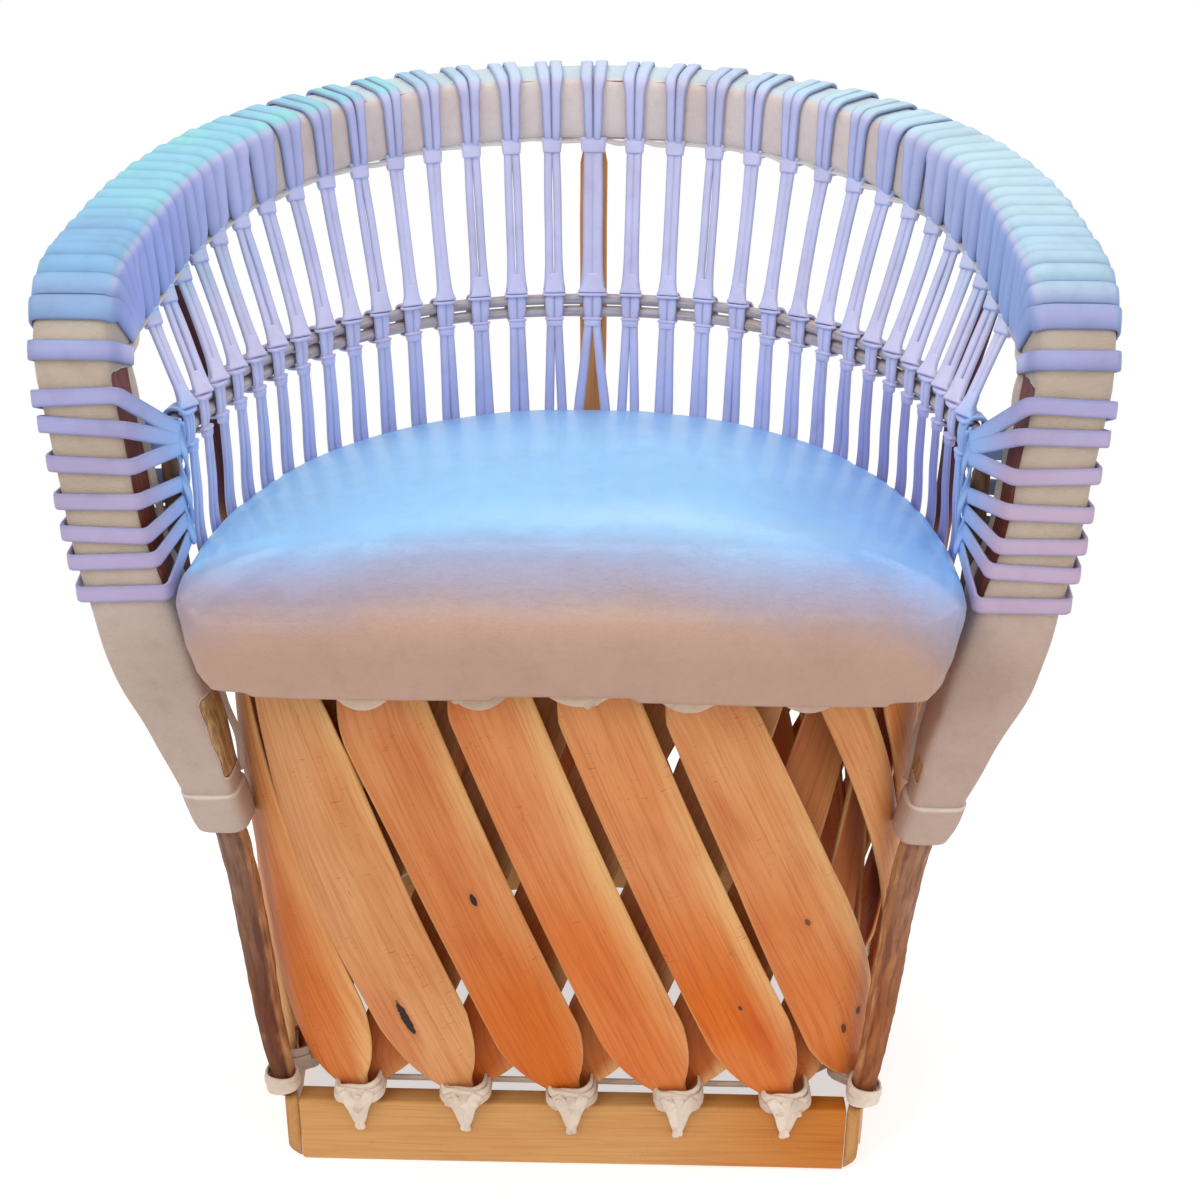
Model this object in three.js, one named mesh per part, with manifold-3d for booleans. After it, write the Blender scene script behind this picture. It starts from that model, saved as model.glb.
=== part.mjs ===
// An equipale: a barrel armchair. Split cedar slats cross between a D-shaped base and a bent
// ring under the seat. Two front legs and five sticks rise from the base to a horseshoe rail
// wrapped in pigskin, and leather lacing ties the rail, a pair of canes and the seat together.
// Millimetres, Z up. The chair faces -Y, and +X is on the right of someone facing it.

import * as THREE from 'three';
import { mergeVertices } from 'three/addons/utils/BufferGeometryUtils.js';
import Module from 'manifold-3d';

const wasm = await Module();
wasm.setup();

// Clearances
const gap = 0.4;
const laceGap = 0.8;
const hoopGap = 1.3;
const weldTolerance = 0.06;

// Base: a straight front board and a bent strip round the sides and back
const boardHalf = 203;
const boardHeight = 56;
const boardThickness = 18;
const stripThickness = 10;
const baseFront = -220;
const baseHalf = 236;
const baseMiddle = -40;
const baseBack = 175;
const footCorner = 62;

// Ring under the seat, which carries the tops of the slats
const ringHeight = 20;
const ringThickness = 16;
const ringTop = 416;
const ringFront = -231;
const ringFrontHalf = 190;
const ringHalf = 248;
const ringMiddle = -40;
const ringBack = 213;
const ringCorner = 70;

// Slats
const slatThickness = 6;
const slatWidth = 61;
const sideSlatWidth = 68;
const slatBow = 3.2;
const slatDrop = 5;
const slatCross = 6;
const slatFootGap = 0.9;
const slatClear = 1.8;
const slatSpread = 15;
const slatSpace = 5;
const slatPairs = 18;
const slatShift = 1.85;
const tieSpacing = 79;
const cornerTie = 226;
const headSpacing = 70;
const frontTies = 3;
const paddleShares = [[0, 0.2], [0.035, 0.46], [0.11, 0.9], [0.3, 1], [0.84, 0.94], [0.96, 0.7], [1, 0.42]];

// Rawhide that ties the slats to the base and to the ring
const tieThickness = 2.4;
const tieHeight = 8;
const tieHalf = 20;
const cornerTieHalf = 19;
const tieReach = 12;
const tailWidth = 12;
const tailDrop = 25;
const runHeight = 5;
const bandLow = 402;
const headLow = 395;
const bandHeight = 8;

// Front legs, each by its middle line from the foot up to where the rail's core stands on it, and
// their ties
const legPath = [[214, -212, 56.4], [219, -212, 88], [242, -207, 284]];
const legTopPlan = [276, -198];
const legClear = 0.6;
const legWidths = [17, 19, 23, 23];
const legDepths = [13, 14, 15, 16];
const legTieLow = 68;
const legTieHeight = 16;
const legTieWidth = 23;
const legTieDepth = 18;

// Rail and arm posts: a wooden core in a pigskin sleeve
const railHalf = 307;
const railMiddle = -80;
const railBack = 260;
const railTop = 737;
const armHeight = 661;
const railWidth = 50;
const railDepth = 56;
const hideThickness = 2.4;
const coreGap = 1.2;
const crestRadius = 48;
const postFront = -218;
const postDepth = 42;
const postFoot = 284;
const postFootHalf = 242;
const coreFootShare = 0.372;

// From the crest down: height, how far out the post stands, its width and its depth
const postShares = [
  [1, 1, 1, 1],
  [0.84, 0.928, 1, 1],
  [0.69, 0.87, 1.02, 1],
  [0.551, 0.739, 1.12, 1],
  [0.372, 0.551, 1.16, 1],
  [0.212, 0.297, 0.96, 0.95],
  [0.051, 0.072, 0.68, 0.81],
  [0, 0, 0.64, 0.78],
];
const wrapHeight = 27;
const wrapThickness = 2.2;

// Seat: a panel on the ring and a crowned leather pad on the panel
const seatMiddle = -150;
const seatHalf = 258;
const seatBack = 220;
const seatFront = -266;
const seatFrontHalf = 246;
const seatCorner = 24;
const panelThickness = 12;
const panelInset = 14;
const panelFrontInset = 27;
const padCrown = 491;
const crownShares = [0.88, 0.66, 0.4, 0.14];

// From the underside up: height, and how far out of the seat's outline
const padLevels = [[428.4, -12], [434, -9], [444, -5], [462, 0], [472, -3]];

// The apron in cross-section, by how far its faces lie behind the seat's front, and its lower edge
// along the front
const apronBackInset = 11;
const apronInset = 1.5;
const apronTop = 458;
const apronTopInset = 6;
const apronTopBackInset = 20;
const apronEdge = [[-236, 429], [-222, 408], [-110, 404], [0, 405], [110, 403], [222, 409], [236, 429]];

// Canes half way up the back
const caneRadius = 5.8;
const caneSpread = 6;
const caneHalf = 262;
const caneMiddle = -150;
const caneBack = 235;
const caneBackHeight = 565;
const caneEndHeight = 553;
const caneEnd = -166;

// Sticks outside the drum, each by its middle line from the foot up: how far out, and height. The
// post sticks go on up to the rail: how far out at their bend and at their top.
const postStickWidth = 25;
const postStickDepth = 14;
const centreStick = [[193, 28], [238, 400], [246, 475]];
const centreStickTop = [255, 262];
const sidePostStick = [[252, 30], [272, 400], [277, 475]];
const sidePostStickTop = [281, 302];
const stickBendShare = 0.45;
const stickClear = 4.9;
const sidePostY = -20;
const sideStick = [[257.4, 300], [262, 400], [267, 475], [267, 536.4]];
const sideStickY = -168;
const sideStickRadius = 6;

// Lacing
const laceThickness = 2.6;
const strandThickness = 2;
const spindles = 15;
const backSpindles = 8;
const pairWidth = 26;
const shoulderWidth = 33;
const shoulderStart = 7;
const spindleTopWidth = 20;
const spindleWidth = 12.5;
const caneBandWidth = 16;
const strandWidth = 14.6;
const spindleFootWidth = 22;
const upperShares = [0.3, 0.85];
const lastWrapY = -135;
const lastSeatY = -137;
const lastCaneY = -157;
const seatRunHeight = 10;
const crestWrapSpacing = 12;
const crestWrapWidth = 12.6;
const crestWraps = 6;
const crestOverlap = 0.8;
const crestLift = 0.5;
const bandWidth = 11;

// Where the lacing runs down past the pad: height, and how far out of the seat's outline
const seatRunLevels = [[462, 2.3], [444, -2], [422.6, -10.4]];

// Arm bands: height on the front of the post, and height where the lace is gathered behind it
const highBands = [[588, 556], [569, 551], [544, 546]];
const lowBands = [[520, 520], [498, 508], [480, 496], [458, 484]];

// Where the bands are gathered: how far out of the gathering line, and y. The line is clear of the
// inner face of the post at the lowest band.
const highGather = [[0, -179], [2, -170.4]];
const lowGather = [[1, -176], [7, -158.6]];
const gatherClear = 5.1;
const gatherLaceY = -177.6;
const gatherLaceHeights = [479, 561];
const gatherLaceWidth = 7;
const gatherLaceThickness = 2.9;
const caneLaceHeight = 556;

// Round shapes
const ovalPower = 2.15;
const quarterSteps = 12;
const crestSteps = 7;
const padPoints = 44;
const tubeSides = 6;
const overrun = 4;

const half = (value) => value / 2;
const vec = (x, y, z) => new THREE.Vector3(x, y, z);
const mirror = (point, side) => vec(point.x * side, point.y, point.z);
const lerp = THREE.MathUtils.lerp;
const clamp = THREE.MathUtils.clamp;

// A solid carried through cross-sections that all have the same number of points. Closed joins
// the last section to the first, otherwise both ends are capped.
function loft(sections, closed = false) {
  const count = sections[0].length;
  const index = [];
  const spans = closed ? sections.length : sections.length - 1;
  for (let i = 0; i < spans; i += 1) {
    const next = ((i + 1) % sections.length) * count;
    for (let j = 0; j < count; j += 1) {
      const k = (j + 1) % count;
      index.push(i * count + j, i * count + k, next + k);
      index.push(i * count + j, next + k, next + j);
    }
  }
  if (!closed) {
    const last = (sections.length - 1) * count;
    for (let j = 1; j < count - 1; j += 1) {
      index.push(0, j + 1, j);
      index.push(last, last + j, last + j + 1);
    }
  }
  const points = sections.flat();
  if (signedVolume(points, index) < 0) {
    index.reverse();
  }
  const geometry = new THREE.BufferGeometry();
  geometry.setAttribute('position', new THREE.Float32BufferAttribute(points.flatMap((p) => p.toArray()), 3));
  geometry.setIndex(index);
  return geometry;
}

function signedVolume(points, index) {
  let total = 0;
  for (let i = 0; i < index.length; i += 3) {
    const [a, b, c] = [points[index[i]], points[index[i + 1]], points[index[i + 2]]];
    total += a.dot(vec(0, 0, 0).crossVectors(b, c));
  }
  return total;
}

// A sleeve open at both ends: out along the outer sections and back along the inner ones.
function sleeve(outer, inner) {
  return loft([...outer, ...[...inner].reverse()], true);
}

function toSolid(geometry) {
  const bare = geometry.clone();
  bare.deleteAttribute('normal');
  bare.deleteAttribute('uv');
  const merged = mergeVertices(bare);
  return new wasm.Manifold(new wasm.Mesh({
    numProp: 3,
    vertProperties: new Float32Array(merged.attributes.position.array),
    triVerts: new Uint32Array(merged.index.array),
  }));
}

// One body from several overlapping ones.
function join(geometries) {
  const solid = geometries.map(toSolid).reduce((whole, piece) => whole.add(piece)).simplify(weldTolerance);
  const mesh = solid.getMesh();
  const geometry = new THREE.BufferGeometry();
  geometry.setAttribute('position', new THREE.Float32BufferAttribute(mesh.vertProperties, 3));
  geometry.setIndex([...mesh.triVerts]);
  return geometry;
}

// A path in plan, measured along its length.
class Track {
  constructor(points, closed) {
    this.points = closed ? [...points, points[0]] : points;
    this.closed = closed;
    this.marks = [0];
    for (let i = 1; i < this.points.length; i += 1) {
      this.marks.push(this.marks[i - 1] + this.points[i].distanceTo(this.points[i - 1]));
    }
    this.length = this.marks.at(-1);
  }

  at(distance) {
    const place = this.closed ? THREE.MathUtils.euclideanModulo(distance, this.length) : distance;
    let i = this.marks.findIndex((mark) => mark > place);
    i = i < 1 ? this.points.length - 1 : i;
    const share = (place - this.marks[i - 1]) / (this.marks[i] - this.marks[i - 1]);
    return this.points[i - 1].clone().lerp(this.points[i], share);
  }

  // The way outwards, square to the path, smoothed over a spread each way.
  outward(distance, spread) {
    const back = this.at(distance - spread);
    const ahead = this.at(distance + spread);
    return vec(ahead.y - back.y, back.x - ahead.x, 0).normalize();
  }
}

// A point of an oval. Angle 0 is the middle of its back, a right angle its side.
function ovalPoint(oval, angle) {
  const sine = Math.sin(angle);
  const cosine = Math.cos(angle);
  const reach = cosine > 0 ? oval.back - oval.middle : oval.frontReach;
  const x = oval.half * Math.abs(sine) ** (2 / ovalPower);
  return vec(x, oval.middle + Math.sign(cosine) * reach * Math.abs(cosine) ** (2 / ovalPower), 0);
}

// The right half of a D: along its straight front, round a corner and back along the oval.
function dHalf({ half: width, middle, back, front, frontHalf, corner }) {
  const share = (frontHalf / width) ** ovalPower;
  const oval = { half: width, middle, back, frontReach: (middle - front) / (1 - share) ** (1 / ovalPower) };
  const startAngle = Math.PI - Math.asin((frontHalf / width) ** (ovalPower / 2));
  const side = [];
  const steps = quarterSteps * 2;
  for (let i = 0; i <= steps; i += 1) {
    side.push(ovalPoint(oval, startAngle * (1 - i / steps)));
  }
  if (!corner) {
    return [vec(0, front, 0), ...side];
  }
  const tip = vec(frontHalf, front, 0);
  const past = side.filter((point) => point.distanceTo(tip) > corner);
  const bend = new THREE.QuadraticBezierCurve3(vec(frontHalf - corner, front, 0), tip, past[0]);
  return [vec(0, front, 0), ...bend.getPoints(6), ...past.slice(1)];
}

function dTrack(sizes) {
  const right = dHalf(sizes);
  const left = right.slice(1, -1).reverse().map((point) => mirror(point, -1));
  return new Track([...right, ...left], true);
}

// An open horseshoe from its right front end round the back to its left one.
function horseshoeTrack({ half: width, middle, back, end }) {
  const right = [vec(width, end, 0)];
  for (let i = 0; i <= quarterSteps; i += 1) {
    right.push(ovalPoint({ half: width, middle, back }, half(Math.PI) * (1 - i / quarterSteps)));
  }
  const left = right.slice(0, -1).reverse().map((point) => mirror(point, -1));
  return new Track([...right, ...left], false);
}

// The length of a horseshoe from the middle of its back to a given y near its end.
function reachToY(track, y) {
  return half(track.length) - (y - track.points[0].y);
}

// A rectangle in the plane of two directions, round a centre.
function rectangle(centre, across, acrossSize, up, upSize) {
  const corner = (i, j) => centre.clone()
    .addScaledVector(across, i * half(acrossSize))
    .addScaledVector(up, j * half(upSize));
  return [corner(1, 1), corner(-1, 1), corner(-1, -1), corner(1, -1)];
}

const xAxis = vec(1, 0, 0);
const yAxis = vec(0, 1, 0);
const zUp = vec(0, 0, 1);

// The signs of a rectangle's corners, in the order in which rectangle gives them
const cornerSigns = [[1, 1], [-1, 1], [-1, -1], [1, -1]];

// A rectangle made larger by an amount on every side.
function grown(section, amount) {
  const across = section[0].clone().sub(section[1]).normalize();
  const up = section[0].clone().sub(section[3]).normalize();
  return section.map((corner, j) => corner.clone()
    .addScaledVector(across, cornerSigns[j][0] * amount)
    .addScaledVector(up, cornerSigns[j][1] * amount));
}

// Rectangles along a path. What is tied round them hugs their flat faces.
class Sheath {
  constructor(sections) {
    this.sections = sections;
    this.track = new Track(sections.map((section) => section[0].clone().lerp(section[2], half(1))), false);
  }

  at(distance) {
    const { marks } = this.track;
    let i = marks.findIndex((mark) => mark > distance);
    i = i < 1 ? marks.length - 1 : i;
    const share = (distance - marks[i - 1]) / (marks[i] - marks[i - 1]);
    return this.sections[i - 1].map((corner, j) => corner.clone().lerp(this.sections[i][j], share));
  }

  // A ring that bends wherever the sheath does.
  ring(distance, width, thickness, lift = 0) {
    const inside = (mark) => Math.abs(mark - distance) < half(width) - gap;
    const marks = this.track.marks.filter(inside);
    return this.wrap([distance - half(width), ...marks, distance + half(width)], laceGap + lift, thickness);
  }

  // A ring that is straight from one end to the other, and stands off a little more.
  hoop(distance, width, thickness) {
    return this.wrap([distance - half(width), distance + half(width)], hoopGap, thickness);
  }

  wrap(stops, stand, thickness) {
    const sections = stops.map((stop) => this.at(stop));
    return sleeve(
      sections.map((section) => grown(section, stand + thickness)),
      sections.map((section) => grown(section, stand)),
    );
  }
}

// Both halves of a path from its right half, which starts at the middle.
function bothSides(right) {
  const left = right.slice(1).reverse().map((section) => section.map((point) => mirror(point, -1)));
  return [...left, ...right];
}

// A closed band that stands upright on the corners of a loop.
function band(corners, height, thickness) {
  const centre = corners.reduce((sum, corner) => sum.add(corner), vec(0, 0, 0)).divideScalar(corners.length);
  return loft(corners.map((corner) => {
    const out = corner.clone().sub(centre).setZ(0).normalize();
    return rectangle(corner, out, thickness, zUp, height);
  }), true);
}

// A round section, or with fewer sides a faceted one.
function round(centre, across, up, radius) {
  const points = [];
  for (let i = 0; i < tubeSides; i += 1) {
    const angle = 2 * Math.PI * (i / tubeSides);
    points.push(centre.clone()
      .addScaledVector(across, radius * Math.cos(angle))
      .addScaledVector(up, radius * Math.sin(angle)));
  }
  return points;
}

// Materials
const finish = (color, roughness) => new THREE.MeshStandardMaterial({ color, roughness, metalness: 0 });
const slatWood = finish(0xd08848, 0.6);
const innerWood = finish(0xa9622f, 0.65);
const boardWood = finish(0xcfa066, 0.55);
const barkWood = finish(0x7a5236, 0.85);
const coreWood = finish(0x8a4a2a, 0.75);
const caneWood = finish(0xa8957d, 0.6);
const hide = finish(0xd0b9a4, 0.6);
const seatLeather = finish(0xa9b9dc, 0.4);
const lace = finish(0xc4bdea, 0.5);
const rawhide = finish(0xcdb9aa, 0.8);

const chair = new THREE.Group();

function add(name, geometry, material) {
  const mesh = new THREE.Mesh(geometry, material);
  mesh.name = name;
  chair.add(mesh);
}

// Base
const footTrack = dTrack({
  half: baseHalf - half(stripThickness),
  middle: baseMiddle,
  back: baseBack - half(stripThickness),
  front: baseFront + half(boardThickness),
  frontHalf: boardHalf + gap + half(stripThickness),
  corner: footCorner,
});

function makeBase() {
  const board = new THREE.BoxGeometry(2 * boardHalf, boardThickness, boardHeight);
  board.translate(0, baseFront + half(boardThickness), half(boardHeight));
  add('base_front_board', board, boardWood);
  const right = dHalf({
    half: baseHalf - half(stripThickness),
    middle: baseMiddle,
    back: baseBack - half(stripThickness),
    front: baseFront,
    frontHalf: boardHalf + gap + half(stripThickness),
    corner: 0,
  }).slice(1);
  const left = right.slice(0, -1).reverse().map((point) => mirror(point, -1));
  const line = [...right, ...left];
  const sections = line.map((point, i) => {
    const before = line[Math.max(i - 1, 0)];
    const after = line[Math.min(i + 1, line.length - 1)];
    const away = vec(after.y - before.y, before.x - after.x, 0).normalize();
    if (i === 0 || i === line.length - 1) {
      away.set(Math.sign(point.x), 0, 0);
    }
    return rectangle(point.clone().setZ(half(boardHeight)), away, stripThickness, zUp, boardHeight);
  });
  add('base_bent_strip', loft(sections), boardWood);
}

// Ring under the seat
const ringTrack = dTrack({
  half: ringHalf - half(ringThickness),
  middle: ringMiddle,
  back: ringBack - half(ringThickness),
  front: ringFront + half(ringThickness),
  frontHalf: ringFrontHalf,
  corner: ringCorner,
});
const ringSteps = 44;

function makeRing() {
  const sections = [];
  for (let i = 0; i < ringSteps; i += 1) {
    const distance = ringTrack.length * (i / ringSteps);
    const centre = ringTrack.at(distance).setZ(ringTop - half(ringHeight));
    sections.push(rectangle(centre, ringTrack.outward(distance, overrun), ringThickness, zUp, ringHeight));
  }
  add('seat_ring', loft(sections, true), coreWood);
}

// Where the slats stand: a station is a place counted along the base or the ring, 0 at the
// middle of the front and half of the pairs at the middle of the back. The first stations on
// each side have places of their own, and the rest share what is left.
function stationDistance(track, firsts, station) {
  const place = THREE.MathUtils.euclideanModulo(station, slatPairs);
  const onLeft = place > half(slatPairs);
  const folded = onLeft ? slatPairs - place : place;
  const last = firsts.length - 1;
  let distance;
  if (folded < last) {
    const i = Math.floor(folded);
    distance = lerp(firsts[i], firsts[i + 1], folded - i);
  } else {
    distance = lerp(firsts[last], half(track.length), (folded - last) / (half(slatPairs) - last));
  }
  return onLeft ? track.length - distance : distance;
}

const footFirsts = [0, tieSpacing, 2 * tieSpacing, cornerTie];
const headFirsts = [0, headSpacing, 2 * headSpacing, 3 * headSpacing];
const headHeight = ringTop - slatDrop;
const footHeight = boardHeight + gap;

// A place on the drum's surface: on the middle line of a slat at a share of its height, and from
// there sideways round the drum.
function slatPlace(number, layer, share, sideways = 0) {
  const station = number - layer * slatShift * share;
  const footDistance = stationDistance(footTrack, footFirsts, station) + sideways;
  const headDistance = stationDistance(ringTrack, headFirsts, station) + sideways;
  const foot = footTrack.at(footDistance).setZ(footHeight);
  const head = ringTrack.at(headDistance).setZ(headHeight);
  const out = footTrack.outward(footDistance, slatSpread);
  out.lerp(ringTrack.outward(headDistance, slatSpread), share).normalize();
  return { centre: foot.lerp(head, share), out };
}

// How far a slat reaches sideways: its own half width, or less where the next one is close.
function slatReach(number, layer, way, share, widthShare) {
  const face = (value) => {
    const { centre, out } = slatPlace(value, layer, share);
    return centre.addScaledVector(out, layer * (slatCross + slatThickness + half(ringThickness) * share));
  };
  const here = face(number);
  const next = face(number + way);
  const lean = slatPlace(number, layer, 1).centre.sub(slatPlace(number, layer, 0).centre);
  const space = here.distanceTo(next) * (lean.z / lean.length()) - slatSpace;
  const sideShare = clamp((here.y - baseFront) / tieSpacing, 0, 1);
  return Math.min(half(lerp(slatWidth, sideSlatWidth, sideShare)) * widthShare, half(space));
}

// Layer 1 is the outer slats, which lean to the left on the front, and layer -1 the inner ones.
function slatGeometry(number, layer) {
  const sections = paddleShares.map(([share, widthShare]) => {
    const standoff = lerp(half(slatFootGap), half(ringThickness) + slatClear, share)
      + half(slatCross) * Math.sin(Math.PI * share);
    const bow = slatBow * widthShare;
    const place = (sideways, away) => {
      const { centre, out } = slatPlace(number, layer, share, sideways);
      return centre.addScaledVector(out, layer * (standoff + away));
    };
    const low = -slatReach(number, layer, -1, share, widthShare);
    const high = slatReach(number, layer, 1, share, widthShare);
    const core = half(high + low);
    return [
      place(low, 0), place(core, bow), place(high, 0),
      place(high, slatThickness), place(core, slatThickness + bow), place(low, slatThickness),
    ];
  });
  return loft(sections);
}

function makeSlats() {
  for (let i = 0; i < slatPairs; i += 1) {
    const label = String(i + 1).padStart(2, '0');
    const number = i - frontTies;
    add(`outer_slat_${label}`, slatGeometry(number, 1), slatWood);
    add(`inner_slat_${label}`, slatGeometry(number, -1), innerWood);
  }
}

// Rawhide round the feet of each pair of slats, with a tail down the outside of the base and a
// run along the insides of the rings that joins them all.
function makeFootLashing() {
  const pieces = [];
  const tailFoot = boardHeight - tailDrop;
  const insides = [];
  for (let i = 0; i < slatPairs; i += 1) {
    const distance = stationDistance(footTrack, footFirsts, i);
    const onBoard = i < frontTies || i > slatPairs - frontTies;
    const out = onBoard ? yAxis.clone().negate() : footTrack.outward(distance, overrun);
    const across = vec(-out.y, out.x, 0);
    const atCorner = i === frontTies || i === slatPairs - frontTies;
    const reach = atCorner ? cornerTieHalf : tieHalf;
    const centre = footTrack.at(distance).setZ(footHeight + half(tieHeight) + gap);
    if (onBoard) {
      centre.y = baseFront + half(boardThickness);
    }
    const corner = ([sideways, away], grow, rise) => centre.clone()
      .addScaledVector(across, sideways * (reach + grow))
      .addScaledVector(out, away * (tieReach + grow))
      .addScaledVector(zUp, rise);
    const corners = [[1, 1], [-1, 1], [-1, -1], [1, -1]];
    pieces.push(loft(corners.map((place) => [
      corner(place, 0, half(tieHeight)), corner(place, tieThickness, half(tieHeight)),
      corner(place, tieThickness, -half(tieHeight)), corner(place, 0, -half(tieHeight)),
    ]), true));
    const topZ = footHeight + half(tieHeight);
    const ringFace = tieReach + half(tieThickness);
    insides.push(centre.clone().addScaledVector(out, -ringFace));
    if (!atCorner) {
      const frontFace = half(onBoard ? boardThickness : stripThickness);
      const low = frontFace + laceGap + tieThickness;
      pieces.push(strip([[topZ, ringFace], [boardHeight, ringFace], [tailFoot, low]].map(
        ([z, offset]) => centre.clone().setZ(z).addScaledVector(out, offset),
      ), across, out));
    }
  }
  pieces.push(band(insides, runHeight, tieThickness));
  for (const side of [-1, 1]) {
    const z = legTieLow + half(legTieHeight);
    const [foot, knee] = legPath;
    const share = (z - foot[2]) / (knee[2] - foot[2]);
    const [x, y] = foot.map((value, i) => lerp(value, knee[i], share));
    const corners = rectangle(vec(x * side, y, z), xAxis, legTieWidth, yAxis, legTieDepth);
    pieces.push(band(corners, legTieHeight, tieThickness));
    const cornerOut = footTrack.outward(cornerTie, half(slatWidth));
    const tie = footTrack.at(cornerTie).addScaledVector(cornerOut, tieReach + tieThickness);
    const across = vec(-cornerOut.y, cornerOut.x, 0);
    const behind = vec(x, y + half(legTieDepth), z);
    const high = rectangle(behind, xAxis, tailWidth, yAxis.clone().negate(), tieThickness);
    const low = rectangle(tie.setZ(footHeight + half(tieHeight)), across, tailWidth, cornerOut, tieThickness);
    pieces.push(loft([high, low].map((section) => section.map((point) => mirror(point, side)))));
  }
  add('foot_lashing', join(pieces), rawhide);
}

// A flat tail of rawhide along a few points.
function strip(points, across, out) {
  return loft(points.map((point) => rectangle(point, across, tailWidth, out, tieThickness)));
}

// The points of a flat shape that a cord drawn tight round it touches.
function hull(points) {
  const sorted = [...points].sort((a, b) => a.x - b.x || a.y - b.y);
  const turn = (a, b, c) => (b.x - a.x) * (c.y - a.y) - (b.y - a.y) * (c.x - a.x);
  const chain = (list) => {
    const kept = [];
    list.forEach((point) => {
      while (kept.length > 1 && turn(kept.at(-2), kept.at(-1), point) <= 0) {
        kept.pop();
      }
      kept.push(point);
    });
    return kept.slice(0, -1);
  };
  return [...chain(sorted), ...chain(sorted.reverse())];
}

// Rawhide drawn round the heads of all the slats.
function makeHeadLashing() {
  const heads = [];
  for (let i = 0; i < slatPairs; i += 1) {
    const positions = slatGeometry(i, 1).attributes.position;
    for (let j = 0; j < positions.count; j += 1) {
      const point = vec(0, 0, 0).fromBufferAttribute(positions, j);
      if (point.z > headLow) {
        heads.push(point.setZ(bandLow + half(bandHeight)));
      }
    }
  }
  const corners = hull(heads);
  const stand = laceGap + half(tieThickness);
  const loop = corners.map((corner, i) => {
    const before = corners.at(i - 1);
    const after = corners[(i + 1) % corners.length];
    const inwards = corner.clone().sub(before).normalize();
    const onwards = after.clone().sub(corner).normalize();
    const mitre = inwards.clone().add(onwards).normalize();
    const out = vec(mitre.y, -mitre.x, 0);
    return rectangle(
      corner.clone().addScaledVector(out, stand / mitre.dot(onwards)),
      out, tieThickness, zUp, bandHeight,
    );
  });
  add('head_lashing', loft(loop, true), rawhide);
}

// Rail and arm posts: the rail lies in a tilted plane, turns down over a crest at each end and
// runs on as a post that leans in towards its foot.
const railSlope = (railTop - armHeight) / (railBack - railMiddle);
const railUp = vec(0, -railSlope, 1).normalize();
const crestAngle = Math.atan(1 / railSlope);
const crestY = postFront + half(postDepth) + crestRadius;
const crestStartY = crestY - crestRadius * Math.cos(crestAngle);
const crestHeight = armHeight + railSlope * (crestStartY - railMiddle) - crestRadius * Math.sin(crestAngle);

function railSections(inset, lowestShare) {
  const oval = { half: railHalf, middle: railMiddle, back: railBack };
  const centres = [];
  for (let i = 0; i <= quarterSteps; i += 1) {
    const point = ovalPoint(oval, half(Math.PI) * (i / quarterSteps));
    centres.push(point.setZ(armHeight + railSlope * (point.y - railMiddle)));
  }
  const sections = centres.map((centre, i) => {
    const before = i > 0 ? centres[i - 1] : mirror(centres[1], -1);
    const after = i < quarterSteps ? centres[i + 1] : centre.clone().sub(vec(0, 1, railSlope));
    const across = railUp.clone().cross(after.clone().sub(before)).normalize();
    return rectangle(centre, across, railWidth - 2 * inset, railUp, railDepth - 2 * inset);
  });
  for (let i = 0; i < crestSteps; i += 1) {
    const angle = crestAngle * (1 - i / crestSteps);
    const up = vec(0, -Math.cos(angle), Math.sin(angle));
    const centre = vec(railHalf, crestY, crestHeight).addScaledVector(up, crestRadius);
    const depth = lerp(railDepth, postDepth, i / crestSteps);
    sections.push(rectangle(centre, xAxis, railWidth - 2 * inset, up, depth - 2 * inset));
  }
  postShares.filter(([share]) => share >= lowestShare).forEach(([share, lean, wide, deep]) => {
    const depth = postDepth * deep;
    const centre = vec(
      lerp(postFootHalf, railHalf, lean), postFront + half(depth), lerp(postFoot, crestHeight, share),
    );
    const up = yAxis.clone().negate();
    sections.push(rectangle(centre, xAxis, railWidth * wide - 2 * inset, up, depth - 2 * inset));
  });
  return bothSides(sections);
}

const hideSheath = new Sheath(railSections(0, 0));

function makeRail() {
  add('rail_core', loft(railSections(hideThickness + coreGap, coreFootShare)), coreWood);
  add('rail_hide', sleeve(hideSheath.sections, railSections(hideThickness, 0)), hide);
  const { length } = hideSheath.track;
  add('hide_wrap_left', hideSheath.ring(half(wrapHeight), wrapHeight, wrapThickness), hide);
  add('hide_wrap_right', hideSheath.ring(length - half(wrapHeight), wrapHeight, wrapThickness), hide);
}

// Front legs: split sticks, flat at the back and round at the front.
function makeLegs() {
  const legTop = lerp(postFoot, crestHeight, coreFootShare) - legClear;
  const line = [...legPath, [...legTopPlan, legTop]];
  for (const side of [-1, 1]) {
    const sections = line.map(([x, y, z], i) => {
      const centre = vec(x * side, y, z);
      const points = [];
      for (let j = 0; j < tubeSides; j += 1) {
        const angle = Math.PI * (j / (tubeSides - 1));
        points.push(centre.clone()
          .addScaledVector(xAxis, half(legWidths[i]) * Math.cos(angle))
          .addScaledVector(yAxis, half(legDepths[i]) - legDepths[i] * Math.sin(angle)));
      }
      return points;
    });
    add(side < 0 ? 'front_leg_left' : 'front_leg_right', loft(sections), barkWood);
  }
}

// Seat: a panel on the ring and a stuffed leather pad whose apron hangs over the front.
function seatLoop(sideGrow, frontGrow, z) {
  const track = dTrack({
    half: seatHalf + sideGrow,
    middle: seatMiddle,
    back: seatBack + sideGrow,
    front: seatFront - frontGrow,
    frontHalf: seatFrontHalf + sideGrow,
    corner: seatCorner,
  });
  const points = [];
  for (let i = 0; i < padPoints; i += 1) {
    points.push(track.at(track.length * (i / padPoints)).setZ(z));
  }
  return points;
}

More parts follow.
